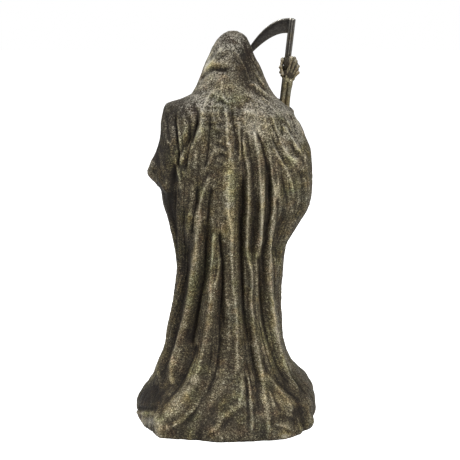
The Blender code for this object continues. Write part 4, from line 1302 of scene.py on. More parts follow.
@dataclass(frozen=True)
class CastFinish:
    """Cold-cast resin with an antique bronze patina: dark in the hollows, rubbed to gold on the ridges."""

    name: str
    # Places along the wear and the colour at each.
    stops: tuple = (
        (0.06, (0.0072, 0.0050, 0.0032, 1.0)),
        (0.30, (0.0160, 0.0122, 0.0076, 1.0)),
        (0.46, (0.0345, 0.0275, 0.0160, 1.0)),
        (0.62, (0.0750, 0.0620, 0.0365, 1.0)),
        (0.80, (0.1800, 0.1550, 0.0980, 1.0)),
        (0.98, (0.4000, 0.3600, 0.2620, 1.0)),
    )
    # Tints that the colour is multiplied by in patches, with the size of the patches and their strength.
    tints: tuple = (
        ((1.08, 1.00, 0.80, 1.0), 0.021, 0.85),
        ((1.05, 0.91, 0.88, 1.0), 0.013, 0.85),
        ((0.93, 1.02, 0.80, 1.0), 0.026, 0.80),
        ((0.86, 0.95, 1.05, 1.0), 0.043, 0.70),
    )
    tinted_above: float = 0.50
    # The grey of dust on upward faces, also used as a painted highlight on the lightest tone patches.
    dust_and_highlight: Colour = (0.46, 0.44, 0.39, 1.0)
    grain: float = 0.0010
    speckle: float = 0.0011
    speckle_depth: float = 0.38
    tint_depth: float = 0.43
    # The cell size and strength of the painted glints.
    painted_glint: float = 0.0013
    painted_glint_depth: float = 0.22
    bump: float = 0.7
    grain_depth: float = 0.0007
    top_dust: float = 0.45
    shine: float = 0.0

    def material(self) -> bpy.types.Material:
        """Builds the material.

        Returns:
            The finished material.
        """
        material = bpy.data.materials.new(self.name)
        material.use_nodes = True
        material.node_tree.nodes.clear()
        nodes = NodeTree(material.node_tree)
        place_ = nodes.sock(nodes.add("ShaderNodeTexCoord"), "Object")
        wear = nodes.sock(nodes.add("ShaderNodeAttribute", {"attribute_name": "wear"}), "Fac")
        tone = nodes.sock(nodes.add("ShaderNodeAttribute", {"attribute_name": "tone"}), "Fac")

        def noise(size: float, detail: float = 2.0, roughness: float = 0.55) -> Sock:
            node = nodes.add("ShaderNodeTexNoise", Vector=place_, Scale=1 / size, Detail=detail, Roughness=roughness)
            return nodes.sock(node, "Fac")

        speckle = noise(self.speckle, 2.0, 0.65)
        patches = noise(0.010, 3.0)
        broad = noise(0.045, 2.0)
        grains = nodes.add("ShaderNodeTexVoronoi", Vector=place_, Scale=1 / self.grain)
        grain = nodes.sock(grains, "Distance")
        tint = nodes.sock(nodes.add("ShaderNodeSeparateColor", Color=grains.outputs["Color"]), "Red")
        # The tone attribute brings its painted light and shade, as well as patina tone, into the wear level.
        level = wear + tone + self.tint_depth * (tint - 0.5) + self.speckle_depth * (speckle - 0.5)
        level = level + 0.13 * (patches - 0.5) + 0.12 * (broad - 0.5)
        # Painted glints: sparse grains made brighter in the colour, as if they caught the light.
        painted_glints = nodes.add("ShaderNodeTexVoronoi", Vector=place_, Scale=1 / self.painted_glint)
        painted_glint = nodes.sock(nodes.add("ShaderNodeSeparateColor", Color=painted_glints.outputs["Color"]), "Green")
        level = level + self.painted_glint_depth * (nodes.spread(painted_glint, 0.62, 1.0) - 0.2)
        ramp = nodes.add("ShaderNodeValToRGB", {"stops": self.stops}, Fac=level)
        colour = nodes.sock(ramp, "Color")
        for hue, size, strength in self.tints:
            share = strength * nodes.spread(noise(size, 3.0), self.tinted_above, self.tinted_above + 0.16)
            colour = nodes.mix(share, colour, hue, "MULTIPLY")
        normal = nodes.sock(nodes.add("ShaderNodeNewGeometry"), "Normal")
        up = nodes.sock(nodes.add("ShaderNodeSeparateXYZ", Vector=normal), "Z")
        height = nodes.sock(nodes.add("ShaderNodeSeparateXYZ", Vector=place_), "Z")
        # Upward faces high on the figure take grey dust; the lightest tone patches take the same grey as a painted
        # highlight.
        dust_and_highlight_share = nodes.spread(up + 0.8 * (speckle - 0.5), 0.1, 0.8) * nodes.spread(level, 0.36, 0.70) * self.top_dust
        dust_and_highlight_share = dust_and_highlight_share * nodes.spread(height, 0.20, 0.42) + 0.45 * nodes.spread(tone, 0.11, 0.30)
        colour = nodes.mix(dust_and_highlight_share, colour, self.dust_and_highlight)
        worn = nodes.spread(level, 0.45, 0.85)
        roughness = 0.62 - 0.7 * self.shine - 0.16 * worn - 0.22 * (tint - 0.5)
        metallic = 0.10 + self.shine + 0.35 * worn
        fine = nodes.add(
            "ShaderNodeBump", Strength=self.bump, Distance=self.grain_depth, Height=grain + 1.6 * speckle
        )
        lumps = nodes.add("ShaderNodeBump", Strength=0.6, Distance=0.0016, Height=patches, Normal=fine.outputs["Normal"])
        shader = nodes.add(
            "ShaderNodeBsdfPrincipled",
            Base_Color=colour,
            Roughness=roughness,
            Metallic=metallic,
            Normal=lumps.outputs["Normal"],
            Specular_IOR_Level=0.16,
        )
        nodes.add("ShaderNodeOutputMaterial", Surface=shader.outputs["BSDF"])
        return material


ROBE_FINISH = CastFinish("antique_resin")
BONE_FINISH = CastFinish("antique_bone", tint_depth=0.2, painted_glint_depth=0.12, bump=0.4, top_dust=0.2)
SCYTHE_FINISH = CastFinish(
    "scythe_resin",
    stops=(
        (0.10, (0.014, 0.012, 0.011, 1.0)),
        (0.40, (0.034, 0.031, 0.028, 1.0)),
        (0.55, (0.062, 0.057, 0.050, 1.0)),
        (0.75, (0.17, 0.16, 0.135, 1.0)),
        (0.95, (0.32, 0.30, 0.26, 1.0)),
    ),
    tints=(((1.12, 1.02, 0.80, 1.0), 0.018, 0.8),),
    painted_glint_depth=0.08,
    grain=0.0012,
    speckle=0.0030,
    speckle_depth=0.40,
    tint_depth=0.18,
    bump=0.2,
    grain_depth=0.0005,
    top_dust=0.1,
    shine=0.3,
)


class SweepTree:
    """Geometry nodes that sweep a ring along a line whose points hold their own radius."""

    def __init__(self, name: str) -> None:
        """Builds the tree.

        Args:
            name: The tree's name.
        """
        tree = bpy.data.node_groups.new(name, "GeometryNodeTree")
        face = tree.interface
        face.new_socket("Line", in_out="INPUT", socket_type="NodeSocketGeometry")
        sides = face.new_socket("Sides", in_out="INPUT", socket_type="NodeSocketInt")
        sides.default_value = 12
        face.new_socket("Finish", in_out="INPUT", socket_type="NodeSocketMaterial")
        face.new_socket("Geometry", in_out="OUTPUT", socket_type="NodeSocketGeometry")
        nodes = NodeTree(tree)
        given = nodes.add("NodeGroupInput")
        radius = nodes.add("GeometryNodeInputNamedAttribute", {"data_type": "FLOAT"}, Name="radius")
        curve = nodes.add("GeometryNodeMeshToCurve", Mesh=given.outputs["Line"])
        ring = nodes.add("GeometryNodeCurvePrimitiveCircle", Resolution=given.outputs["Sides"], Radius=1.0)
        swept = nodes.add(
            "GeometryNodeCurveToMesh",
            Curve=curve.outputs["Curve"],
            Profile_Curve=ring.outputs["Curve"],
            Scale=radius.outputs["Attribute"],
            Fill_Caps=True,
        )
        real = nodes.add("GeometryNodeRealizeInstances", Geometry=swept.outputs["Mesh"])
        dressed = nodes.add("GeometryNodeSetMaterial", Geometry=real.outputs["Geometry"], Material=given.outputs["Finish"])
        nodes.add("NodeGroupOutput", Geometry=dressed.outputs["Geometry"])
        self.tree = tree

    def sweep(
        self, name: str, lines: Sequence[tuple[Sequence[Vector], Sequence[float]]], sides: int, finish: bpy.types.Material
    ) -> bpy.types.Object:
        """Sweeps bars along lines.

        Args:
            name: The object's name.
            lines: For each bar, its points in parts and its radius at each. A line that ends at its first point
                runs right round.
            sides: How many sides the bars have.
            finish: Their material.

        Returns:
            The bars as one object.
        """
        points, edges, radii = [], [], []
        for line, sizes in lines:
            first = len(points)
            closed = (Vector(line[0]) - Vector(line[-1])).length < 1e-6
            kept = list(line[:-1]) if closed else list(line)
            points += [place(p) for p in kept]
            radii += [size * PART for size in list(sizes)[: len(kept)]]
            edges += [(first + k, first + k + 1) for k in range(len(kept) - 1)]
            if closed:
                edges.append((first + len(kept) - 1, first))
        mesh = bpy.data.meshes.new(f"{name}_lines")
        mesh.from_pydata(points, edges, [])
        obj = new_object(name, mesh)
        store_attribute(obj, "radius", np.array(radii))
        return run_tree(obj, self.tree, {"Sides": sides, "Finish": finish})


class ScatterTree:
    """Geometry nodes that set one small block at each point of a mesh."""

    def __init__(self, name: str) -> None:
        """Builds the tree.

        Args:
            name: The tree's name.
        """
        tree = bpy.data.node_groups.new(name, "GeometryNodeTree")
        face = tree.interface
        face.new_socket("Places", in_out="INPUT", socket_type="NodeSocketGeometry")
        face.new_socket("Size", in_out="INPUT", socket_type="NodeSocketVector")
        face.new_socket("Finish", in_out="INPUT", socket_type="NodeSocketMaterial")
        seed = face.new_socket("Seed", in_out="INPUT", socket_type="NodeSocketInt")
        seed.default_value = 5
        face.new_socket("Geometry", in_out="OUTPUT", socket_type="NodeSocketGeometry")
        nodes = NodeTree(tree)
        given = nodes.add("NodeGroupInput")
        ball = nodes.add("GeometryNodeMeshUVSphere", Segments=10, Rings=6, Radius=0.5)
        sized = nodes.add("GeometryNodeTransform", Geometry=ball.outputs["Mesh"], Scale=given.outputs["Size"])
        lean = nodes.add("FunctionNodeRandomValue", {"data_type": "FLOAT_VECTOR"}, Seed=given.outputs["Seed"])
        lean.inputs["Min"].default_value = (-0.08, -0.08, -0.08)
        lean.inputs["Max"].default_value = (0.08, 0.08, 0.08)
        placed = nodes.add(
            "GeometryNodeInstanceOnPoints",
            Points=given.outputs["Places"],
            Instance=sized.outputs["Geometry"],
            Rotation=lean.outputs["Value"],
        )
        real = nodes.add("GeometryNodeRealizeInstances", Geometry=placed.outputs["Instances"])
        dressed = nodes.add("GeometryNodeSetMaterial", Geometry=real.outputs["Geometry"], Material=given.outputs["Finish"])
        nodes.add("NodeGroupOutput", Geometry=dressed.outputs["Geometry"])
        self.tree = tree

    def scatter(
        self, name: str, places: Sequence[Vector], size: Sequence[float], finish: bpy.types.Material
    ) -> bpy.types.Object:
        """Sets a rounded block at each place.

        Args:
            name: The object's name.
            places: Points in parts.
            size: The block's size each way, in parts.
            finish: Its material.

        Returns:
            The blocks as one object.
        """
        mesh = bpy.data.meshes.new(f"{name}_places")
        mesh.from_pydata([place(p) for p in places], [], [])
        obj = new_object(name, mesh)
        return run_tree(obj, self.tree, {"Size": Vector(size) * PART, "Finish": finish, "Seed": 5})


def run_tree(obj: bpy.types.Object, tree: bpy.types.NodeTree, values: dict) -> bpy.types.Object:
    """Runs a geometry tree on an object and keeps the result as its plain mesh.

    Args:
        obj: The object.
        tree: The geometry tree.
        values: The tree's inputs by name.

    Returns:
        The object, with no modifier left on it.
    """
    modifier = obj.modifiers.new(tree.name, "NODES")
    modifier.node_group = tree
    for item in tree.interface.items_tree:
        if item.item_type == "SOCKET" and item.in_out == "INPUT" and item.name in values:
            modifier[item.identifier] = values[item.name]
    bpy.context.view_layer.update()
    mesh = bpy.data.meshes.new_from_object(obj.evaluated_get(bpy.context.evaluated_depsgraph_get()))
    obj.modifiers.remove(modifier)
    obj.data = mesh
    bm = bmesh.new()
    bm.from_mesh(mesh)
    bmesh.ops.recalc_face_normals(bm, faces=bm.faces)
    bm.to_mesh(mesh)
    bm.free()
    mesh.shade_smooth()
    return obj


@dataclass
class Bones:
    """How a bone is shaped between two joints."""

    radius: float = 2.3
    knob: float = 1.22
    shaft: float = 0.72
    samples: int = 9
    sides: int = 14
    wear: float = 0.67

    def line(self, joints: Sequence[Point], scale: float = 1.0) -> tuple[list[Vector], list[float]]:
        """Bones end to end, thick at each joint and thin between.

        Args:
            joints: The joints, in parts.
            scale: How thick the bones are against the usual.

        Returns:
            The points of the chain and the radius at each.
        """
        points, radii = [], []
        for a, b in zip(joints, joints[1:]):
            for k in range(self.samples):
                share = k / self.samples
                points.append(Vector(a).lerp(Vector(b), share))
                bulge = abs(2 * share - 1) ** 2.6
                radii.append(self.radius * scale * (self.shaft + (self.knob - self.shaft) * bulge))
        tip = Vector(joints[-1])
        ahead = (tip - Vector(joints[-2])).normalized()
        for share, size in ((0.0, 1.0), (0.5, 0.86), (0.85, 0.5)):
            points.append(tip + ahead * (share * self.radius * scale))
            radii.append(self.radius * scale * self.knob * size * 0.8)
        return points, radii


@dataclass
class Scythe:
    """The pole and its blade, in a smoother casting of their own."""

    top: tuple = (-77.8, -40.0, 500.5)
    foot: tuple = (-27.0, -86.0, 14.0)
    radius: float = 4.2
    sides: int = 8
    grip_height: float = 437.5
    blade_yaw: float = math.radians(28)
    spine: tuple = ((-1.5, 0.8), (40.0, 6.0), (79.0, -68.0))
    edge: tuple = ((-1.5, -19.0), (29.0, -9.0), (79.0, -68.0))
    spine_thickness: float = 3.4
    edge_thickness: float = 0.5
    sections: int = 60

    def up(self) -> Vector:
        """The pole's direction."""
        return (Vector(self.top) - Vector(self.foot)).normalized()

    def bezier(self, points: tuple, t: float) -> tuple[float, float]:
        """A point on a curve of three control points.

        Args:
            points: The control points.
            t: How far along the curve, from 0 to 1.

        Returns:
            Its place out along the blade and up, in parts.
        """
        (ax, ay), (bx, by), (cx, cy) = points
        u = 1 - t
        return u * u * ax + 2 * u * t * bx + t * t * cx, u * u * ay + 2 * u * t * by + t * t * cy

    def pole(self) -> bpy.types.Object:
        """The eight-sided pole with softened corners and a flat top."""
        up = self.up()
        top, foot = Vector(self.top), Vector(self.foot)
        across = Vector((0, 1, 0)) - up * up.y
        across.normalize()
        side = up.cross(across)
        length = (top - foot).length
        levels = np.concatenate(([0.0, 0.6], np.linspace(4, length - 4, 70), [length - 0.5, length]))
        ring = 4 * self.sides
        points = np.zeros((len(levels), ring, 3))
        for r, level in enumerate(levels):
            ends = 0.9 if r in (0, len(levels) - 1) else 1.0
            for k in range(ring):
                turn = 2 * math.pi * (k + 0.5) / ring
                sector = 2 * math.pi / self.sides
                inside = (turn % sector) - sector / 2
                flat = math.cos(sector / 2) / math.cos(inside)
                reach = self.radius * ends * min(flat * 1.035, 0.985)
                points[r, k] = foot + up * float(level) + (across * math.cos(turn) + side * math.sin(turn)) * reach
        pole = grid_mesh("scythe_pole", points, foot, top)
        # The corners are lighter: worn edges, with painted highlight lines along them.
        corner = np.array([abs(math.sin(self.sides / 2 * 2 * math.pi * (k + 0.5) / ring)) for k in range(ring)])
        wear = np.tile(0.26 + 0.80 * (1 - corner) ** 1.3, (len(levels), 1))
        store_attribute(pole, "wear", np.concatenate((wear.ravel(), (0.5, 0.6))))
        return pole

    def blade(self) -> bpy.types.Object:
        """The curved blade: a raised back, a hollow face and a thin cutting edge, drawn out to a point."""
        along = Vector((math.cos(self.blade_yaw), -math.sin(self.blade_yaw), 0))
        thick = Vector((math.sin(self.blade_yaw), math.cos(self.blade_yaw), 0))
        # Each corner of the section: its share of the way from the back to the edge, and of the half thickness.
        face = ((0.0, 0.55), (0.03, 1.0), (0.12, 1.0), (0.17, 0.62), (0.45, 0.5), (0.8, 0.42), (0.94, 0.3), (1.0, 0.1))
        profile = list(face) + [(share, -half) for share, half in reversed(face)]
        wear_by_share = np.interp([p[0] for p in profile], (0, 0.1, 0.17, 0.3, 0.9, 1.0), (0.62, 0.7, 0.34, 0.4, 0.5, 0.8))
        points = np.zeros((self.sections + 1, len(profile), 3))
        for r in range(self.sections + 1):
            t = 0.985 * r / self.sections
            out_a, up_a = self.bezier(self.spine, t)
            out_b, up_b = self.bezier(self.edge, t)
            for k, (share, half) in enumerate(profile):
                out, up = out_a + (out_b - out_a) * share, up_a + (up_b - up_a) * share
                depth = half * (self.spine_thickness / 2) * (1 - 0.55 * t)
                points[r, k] = Vector(self.top) + along * out + Vector((0, 0, up)) + thick * depth
        tip = Vector(points[-1].mean(axis=0)) + (Vector(points[-1].mean(axis=0)) - Vector(points[-2].mean(axis=0)))
        blade = grid_mesh("scythe_blade", points, Vector(points[0].mean(axis=0)), tip)
        wear = np.tile(wear_by_share, (self.sections + 1, 1))
        store_attribute(blade, "wear", np.concatenate((wear.ravel(), (0.5, 0.6))))
        return blade


@dataclass
class RightHand:
    """The bony fist of the raised arm, closed around the pole."""

    scythe: Scythe
    bones: Bones = field(default_factory=Bones)
    wrist: tuple = (-72.4, -35.5, 423.0)
    # The knuckles, from the first finger's down, and how high each finger crosses the pole.
    knuckles: tuple = ((-77.0, -35.5, 452.8), (-81.8, -35.5, 449.0), (-84.6, -36.5, 442.4), (-84.6, -37.5, 434.4))
    finger_lifts: tuple = (12.6, 7.4, 1.8, -3.8)
    thumb: tuple = ((-66.2, -38.0, 431.0), (-64.2, -42.0, 440.5), (-66.2, -45.0, 449.0))
    # Where each forearm bone stands across, at the wrist and in the cuff.
    forearm: tuple = ((-69.8, -64.0), (-75.4, -71.0))
    flesh: tuple = (
        ((-74.4, -37.0, 430.0), (7.4, 4.6, 9.5)),
        ((-79.0, -38.5, 440.0), (7.4, 5.0, 11.0)),
        ((-74.6, -38.0, 445.0), (6.8, 4.6, 9.5)),
        ((-72.6, -36.5, 420.5), (6.0, 4.4, 6.5)),
        ((-71.0, -37.0, 408.0), (4.4, 3.4, 14.0)),
        ((-68.6, -35.5, 394.0), (4.6, 3.4, 14.0)),
    )

    def grip(self, turn: float, reach: float, lift: float) -> Vector:
        """A point around the pole.

        Args:
            turn: Degrees around it, from the back towards the figure's right.
            reach: Distance from the pole's axis, in parts.
            lift: Distance along the pole from the middle of the grip, in parts.

        Returns:
            The point in parts.
        """
        up = self.scythe.up()
        foot, top = Vector(self.scythe.foot), Vector(self.scythe.top)
        centre = foot.lerp(top, (self.scythe.grip_height - foot.z) / (top.z - foot.z))
        back = Vector((0, 1, 0)) - up * up.y
        back.normalize()
        right = up.cross(back)
        if right.x > 0:
            right.negate()
        angle = math.radians(turn)
        return centre + (back * math.cos(angle) + right * math.sin(angle)) * reach + up * lift

    def lines(self) -> list[tuple[list[Vector], list[float]]]:
        """The bones of the hand and the forearm."""
        hold = self.scythe.radius + self.bones.radius
        wrist = Vector(self.wrist)
        lines = []
        for k, (knuckle, lift) in enumerate(zip(self.knuckles, self.finger_lifts)):
            start = wrist + Vector(((1.5 - k) * 1.7, 1.0, 1.0 - 0.8 * k))
            joints = (
                start,
                knuckle,
                self.grip(118, hold + 3.4, lift + 1.0),
                self.grip(196, hold + 0.6, lift),
                self.grip(256, hold + 0.1, lift - 0.8),
            )
            lines.append(self.bones.line(joints, 1.12))
        lines.append(self.bones.line((wrist + Vector((3.0, 0.0, 0.5)), *self.thumb), 1.15))
        for top_x, low_x in self.forearm:
            lines.append(self.bones.line((Vector((low_x, -31.0, 384.0)), Vector((top_x, -36.0, 424.0))), 1.75))
        return lines

    def palm_balls(self) -> list[tuple[Vector, tuple]]:
        """The flesh of the cast palm, wrist and forearm, as the middle and half sizes of balls."""
        return [(Vector(middle), half) for middle, half in self.flesh]


@dataclass
class LeftHand:
    """The bony hand of the lowered arm, reaching forward out of its cuff with the fingers bent."""

    bones: Bones = field(default_factory=Bones)
    wrist: tuple = (78.0, -76.0, 318.0)
    fans: tuple = (-6.6, -2.2, 2.2, 6.4)

    def lines(self) -> list[tuple[list[Vector], list[float]]]:
        """The bones of the hand and the forearm."""
        wrist = Vector(self.wrist)
        lines = []
        for fan in self.fans:
            knuckle = wrist + Vector((fan, -14, 3.4 - 0.04 * fan * fan))
            short = 0.6 * abs(fan - 2)
            joints = (
                wrist + Vector((0.45 * fan, 0, 0)),
                knuckle,
                knuckle + Vector((0.25 * fan, -10.0 + short, 1.6)),
                knuckle + Vector((0.30 * fan, -16.5 + short, -2.6)),
                knuckle + Vector((0.30 * fan, -18.5 + short, -8.4)),
            )
            lines.append(self.bones.line(joints))
        thumb = (wrist, *(wrist + Vector(step) for step in ((-8.0, -8, -3), (-11.0, -17, -4), (-9.0, -24, -6))))
        lines.append(self.bones.line(thumb, 1.1))
        for shift in (-3.4, 3.6):
            joints = (Vector((75 + shift, -42, 321)), wrist + Vector((0.8 * shift, -3.0, 0)))
            lines.append(self.bones.line(joints, 1.25))
        return lines

    def palm_balls(self) -> list[tuple[Vector, tuple]]:
        """The flesh of the cast palm, as the middle and half sizes of a ball."""
        return [(Vector(self.wrist) + Vector((0, -6, 0.5)), (6.4, 7.5, 3.8))]


def ball_mesh(name: str, balls: Sequence[tuple[Vector, tuple]], noise: LatticeNoise) -> bpy.types.Object:
    """Lumpy balls with their own half sizes.

    Args:
        name: The object's name.
        balls: The middle and the half sizes of each, in parts.
        noise: The noise that roughens them.

    Returns:
        The balls as one object.
    """
    bm = bmesh.new()
    for middle, half in balls:
        made = bmesh.ops.create_uvsphere(bm, u_segments=40, v_segments=28, radius=1.0)["verts"]
        for v in made:
            rough = 1 + 0.08 * float(noise.at(np.array(v.co) * 9 + 30, 3.0))
            v.co = place(middle + Vector([v.co[k] * half[k] * rough for k in range(3)]))
    mesh = bpy.data.meshes.new(name)
    bm.to_mesh(mesh)
    bm.free()
    mesh.shade_smooth()
    flesh = new_object(name, mesh)
    store_attribute(flesh, "wear", np.full(len(mesh.vertices), 0.32))
    return flesh


@dataclass
class BellSleeve:
    """The sleeve of the lowered arm, open at the front and drawn to a point at its outer side."""

    # Each station: the middle, then the reach out, in, up and down, all in parts.
    stations: tuple = (
        ((56, 10, 352), (22, 20, 28, 32)),
        ((65, -14, 342), (21, 22, 34, 36)),
        ((74, -40, 324), (23, 28, 42, 38)),
        ((78, -60, 308), (26, 31, 46, 38)),
        ((80, -74, 303), (27.5, 32, 47, 36)),
    )
    corner: float = 1.1
    round: float = 1.7
    wall: float = 3.5
    depth: float = 24.0
    columns: int = 128
    rows: int = 60
    inner_rows: int = 16
    pleats: int = 9
    pleat_depth: float = 1.2
    tone: float = -0.10
    noise: LatticeNoise = field(default_factory=lambda: LatticeNoise(31))

    def ring(self, centre: np.ndarray, sizes: np.ndarray) -> np.ndarray:
        """One ring of the sleeve.

        Args:
            centre: Its middle, in parts.
            sizes: Its reach out, in, up and down.

        Returns:
            Its points, in parts.
        """
        turn = np.linspace(0, 2 * math.pi, self.columns, endpoint=False)
        c, s = np.cos(turn), np.sin(turn)
        power = np.where(c > 0, 2 / self.corner, 2 / self.round)
        x = np.sign(c) * np.abs(c) ** power * np.where(c > 0, sizes[0], sizes[1])
        z = np.sign(s) * np.abs(s) ** power * np.where(s > 0, sizes[2], sizes[3])
        return np.stack((centre[0] + x, centre[1] + 0.18 * z, centre[2] + z), axis=1)

    def build(self) -> bpy.types.Object:
        """Makes the sleeve with its wall and the inside of its mouth."""
        knots = np.arange(len(self.stations), dtype=float)
        table = np.array([[*middle, *sizes] for middle, sizes in self.stations], float)
        along = np.linspace(0, knots[-1], self.rows)
        outer = np.stack([curve_through(along, knots, table[:, k]) for k in range(7)], axis=1)
        rings = [self.ring(row[:3], row[3:]) for row in outer]
        turn = np.linspace(0, 2 * math.pi, self.columns, endpoint=False)
        pleats = np.cos(self.pleats * turn + 0.7) + 0.6 * np.cos(2 * self.pleats * turn + 2.1)
        growth = np.linspace(0.1, 1.0, self.rows) ** 1.5
        rise = self.pleat_depth * growth[:, None] * pleats[None]
        grid = np.stack(rings)
        centres = outer[:, None, :3]
        outward = grid - centres
        outward /= np.linalg.norm(outward, axis=2, keepdims=True)
        rise = rise + 0.8 * self.noise.at(grid + 60, 7.0) + 0.4 * self.noise.at(grid + 20, 3.2)
        grid = grid + outward * rise[..., None]
        rim, middle = grid[-1], outer[-1, :3]
        inside = []
        for k in range(1, self.inner_rows + 1):
            share = k / self.inner_rows
            shrink = 1 - self.wall / 33 - 0.32 * share
            point = middle + (rim - middle) * shrink + np.array((-5, self.depth, 8)) * (share - 0.06)
            inside.append(point)
        grid = np.concatenate((grid, np.stack(inside)))
        sleeve = grid_mesh("left_sleeve", grid, table[0, :3], grid[-1].mean(axis=0))
        wear = np.full(grid.shape[:2], 0.1)
        wear[: self.rows] = wear_from_relief(rise * 0.8)
        wear[self.rows - 1] = 0.80
        # Inside the mouth the wear falls row by row, as painted shade that deepens into the sleeve.
        fade = np.linspace(0.5, 0.05, self.inner_rows)
        wear[self.rows :] = fade[:, None]
        store_attribute(sleeve, "wear", np.concatenate((wear.ravel(), (0.3, 0.05))))
        store_attribute(sleeve, "tone", np.full(wear.size + 2, self.tone))
        return sleeve


@dataclass
class RaisedSleeve:
    """The sleeve that has slid down the raised forearm, with its small open cuff."""

    # Each station: the middle, the half widths across and along, and how far the ring tilts up to the left.
    stations: tuple = (
        ((-78, -20, 322), (20, 20, 2)),
        ((-74, -27, 352), (18, 18, 4)),
        ((-69, -32, 378), (14.5, 14, 6)),
        ((-67, -34, 395), (11.5, 12, 7)),
    )
    wall: float = 2.4
    columns: int = 96
    rows: int = 48
    noise: LatticeNoise = field(default_factory=lambda: LatticeNoise(43))

    def ring(self, row: np.ndarray, shrink: float = 0.0) -> np.ndarray:
        """One ring of the sleeve.

        Args:
            row: Its middle, half widths and tilt, in parts.
            shrink: How far it lies inside that size.

        Returns:
            Its points, in parts.
        """
        turn = np.linspace(0, 2 * math.pi, self.columns, endpoint=False)
        c, s = np.cos(turn), np.sin(turn)
        wide, deep = row[3] - shrink, row[4] - shrink
        return np.stack((row[0] + wide * c, row[1] + deep * s, row[2] + row[5] * c - 0.2 * deep * s), axis=1)

    def build(self) -> bpy.types.Object:
        """Makes the sleeve with its wall and the inside of its cuff."""
        knots = np.arange(len(self.stations), dtype=float)
        table = np.array([[*middle, *sizes] for middle, sizes in self.stations], float)
        along = np.linspace(0, knots[-1], self.rows)
        rows = np.stack([curve_through(along, knots, table[:, k]) for k in range(6)], axis=1)
        grid = np.stack([self.ring(row) for row in rows])
        centres = rows[:, None, :3]
        outward = grid - centres
        outward /= np.linalg.norm(outward, axis=2, keepdims=True)
        turn = np.linspace(0, 2 * math.pi, self.columns, endpoint=False)[None]
        climb = np.linspace(0, 1, self.rows)[:, None]
        rise = 1.3 * np.sin(7 * turn + 3.0 * climb) * smoothstep(climb * 2) + 0.7 * self.noise.at(grid + 11, 5.0)
        rise = rise + 1.4 * np.exp(-(((climb - 0.97) / 0.03) ** 2))
        grid = grid + outward * rise[..., None]
        inside = []
        for share in np.linspace(0.1, 1.0, 10):
            drop = np.array((-1, 2, -14)) * share
            inside.append(self.ring(rows[-1], self.wall + 2.0 * share) + drop)
        grid = np.concatenate((grid, np.stack(inside)))
        sleeve = grid_mesh("right_sleeve", grid, table[0, :3], grid[-1].mean(axis=0))
        # The inside of the cuff keeps a low wear, as painted shade.
        wear = np.full(grid.shape[:2], 0.08)
        wear[: self.rows] = wear_from_relief(rise * 1.6)
        store_attribute(sleeve, "wear", np.concatenate((wear.ravel(), (0.3, 0.05))))
        return sleeve


@dataclass
class Studio:
    """The pale floor, the soft lights and the camera at the photograph's angle."""

    elevation: float = math.radians(13)
    distance: float = 1.5
    aim_height: float = 0.24
    lens: float = 93.0
    sensor: float = 36.0
    ambient: float = 0.33
    floor_glow: float = 0.85

    def floor(self) -> None:
        """A wide pale floor."""
        bm = bmesh.new()
        bmesh.ops.create_grid(bm, x_segments=1, y_segments=1, size=6.0)
        mesh = bpy.data.meshes.new("floor")
        bm.to_mesh(mesh)
        bm.free()
        floor = new_object("floor", mesh)
        material = bpy.data.materials.new("floor")
        material.use_nodes = True
        material.node_tree.nodes.clear()
        nodes = NodeTree(material.node_tree)
        black, white = (0.0, 0.0, 0.0, 1.0), (1.0, 1.0, 1.0, 1.0)
        seen = nodes.sock(nodes.add("ShaderNodeLightPath"), "Is Camera Ray")
        shader = nodes.add(
            "ShaderNodeBsdfPrincipled",
            Base_Color=(0.8, 0.8, 0.8, 1.0),
            Roughness=0.9,
            Emission_Color=nodes.mix(seen, black, white),
            Emission_Strength=self.floor_glow,
        )
        nodes.add("ShaderNodeOutputMaterial", Surface=shader.outputs["BSDF"])
        floor.data.materials.append(material)

    def light(self, name: str, at: Point, power: float, size: float) -> None:
        """One soft square light that looks at the figure.

        Args:
            name: The light's name.
            at: Where it stands, in metres.
            power: Its power in watts.
            size: Its side, in metres.
        """
        data = bpy.data.lights.new(name, "AREA")
        data.energy, data.size = power, size
        lamp = bpy.data.objects.new(name, data)
        lamp.location = at
        lamp.rotation_euler = (Vector((0, 0, self.aim_height)) - Vector(at)).to_track_quat("-Z", "Y").to_euler()
        bpy.context.scene.collection.objects.link(lamp)

    def build(self) -> None:
        """Sets up the floor, the world, the lights and the camera."""
        scene = bpy.context.scene
        self.floor()
        world = bpy.data.worlds.new("studio")
        world.use_nodes = True
        world.node_tree.nodes.clear()
        nodes = NodeTree(world.node_tree)
        white = (1.0, 1.0, 1.0, 1.0)
        seen = nodes.add("ShaderNodeBackground", Color=white, Strength=1.0)
        cast = nodes.add("ShaderNodeBackground", Color=white, Strength=self.ambient)
        path = nodes.add("ShaderNodeLightPath")
        mixed = nodes.add("ShaderNodeMixShader", index0=path.outputs["Is Camera Ray"], index1=cast.outputs[0], index2=seen.outputs[0])
        nodes.add("ShaderNodeOutputWorld", Surface=mixed.outputs[0])
        scene.world = world
        scene.view_settings.view_transform = "Standard"
        self.light("key", (-0.85, 0.95, 1.50), 44.0, 0.45)
        self.light("rim", (1.30, 0.00, 1.60), 38.0, 0.45)
        offset = AXIS_OFFSET * PART
        aim = Vector((offset.x, offset.y, self.aim_height))
        data = bpy.data.cameras.new("camera")
        data.lens, data.sensor_width = self.lens, self.sensor
        camera = bpy.data.objects.new("camera", data)
        camera.location = aim + self.distance * Vector((0, math.cos(self.elevation), math.sin(self.elevation)))
        camera.rotation_euler = (aim - camera.location).to_track_quat("-Z", "Y").to_euler()
        scene.collection.objects.link(camera)
        scene.camera = camera


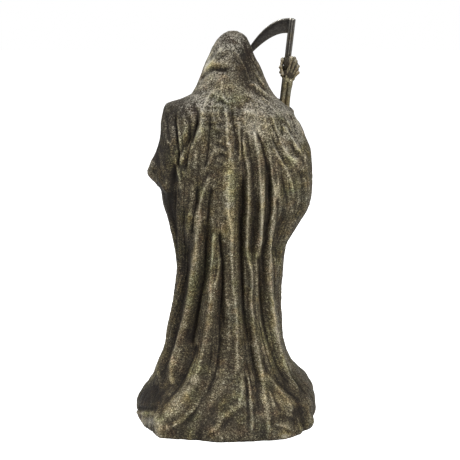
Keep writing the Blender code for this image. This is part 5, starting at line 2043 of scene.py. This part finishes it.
@dataclass
class Figurine:
    """The whole figurine, built piece by piece."""

    robe: Robe = field(default_factory=Robe)
    opening: HoodOpening = field(default_factory=HoodOpening)
    skull: Skull = field(default_factory=Skull)
    scythe: Scythe = field(default_factory=Scythe)
    bell_sleeve: BellSleeve = field(default_factory=BellSleeve)
    raised_sleeve: RaisedSleeve = field(default_factory=RaisedSleeve)
    bones: Bones = field(default_factory=Bones)

    def settle(self, piece: bpy.types.Object, finish: bpy.types.Material, slot: str, *nodes: str) -> None:
        """Gives a piece its finish and its body.

        Args:
            piece: The piece.
            finish: Its material.
            slot: Not used.
            nodes: The solids that it stands for.
        """
        piece.data.materials.clear()
        piece.data.materials.append(finish)
        if "wear" not in piece.data.attributes:
            store_attribute(piece, "wear", np.full(len(piece.data.vertices), 0.55))
        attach(piece, Body.ROOT.value)
        if nodes:
            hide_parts(*nodes)
        log.info("%s: %d vertices", piece.name, len(piece.data.vertices))

    def build(self) -> None:
        """Builds and dresses every piece."""
        cloth, bone, metal = ROBE_FINISH.material(), BONE_FINISH.material(), SCYTHE_FINISH.material()
        sweep, scatter = SweepTree("bone_sweep"), ScatterTree("tooth_scatter")
        robe = self.robe.build()
        carve(robe, self.opening.cutter(), self.opening.painted_shade_inside)
        self.settle(robe, cloth, "antique_resin", "reaper_figure")
        path = self.opening.rim_path(self.robe)
        path.append(path[0].copy())
        radii = [self.opening.rim_radius * (1 + 0.12 * math.sin(0.9 * k)) for k in range(len(path))]
        self.settle(sweep.sweep("hood_rim", [(path, radii)], 16, cloth), cloth, "antique_resin")
        self.settle(self.skull.build(), bone, "antique_resin")
        teeth = scatter.scatter("teeth", self.skull.tooth_places(), self.skull.tooth_size, bone)
        self.settle(teeth, bone, "antique_resin")
        self.settle(self.bell_sleeve.build(), cloth, "antique_resin")
        self.settle(self.raised_sleeve.build(), cloth, "antique_resin")
        hands = (("right_hand", RightHand(self.scythe, self.bones)), ("left_hand", LeftHand(self.bones)))
        for name, hand in hands:
            bones = sweep.sweep(name, hand.lines(), self.bones.sides, bone)
            store_attribute(bones, "wear", np.full(len(bones.data.vertices), self.bones.wear))
            self.settle(bones, bone, "antique_resin")
            palm = ball_mesh(f"{name}_palm", hand.palm_balls(), self.skull.noise)
            self.settle(palm, bone, "antique_resin")
        self.settle(self.scythe.pole(), metal, "scythe_resin", "scythe")
        self.settle(self.scythe.blade(), metal, "scythe_resin")


def main() -> None:
    """Builds the figurine and its studio."""
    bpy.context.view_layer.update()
    Figurine().build()
    Studio().build()


if __name__ == "__main__":
    main()
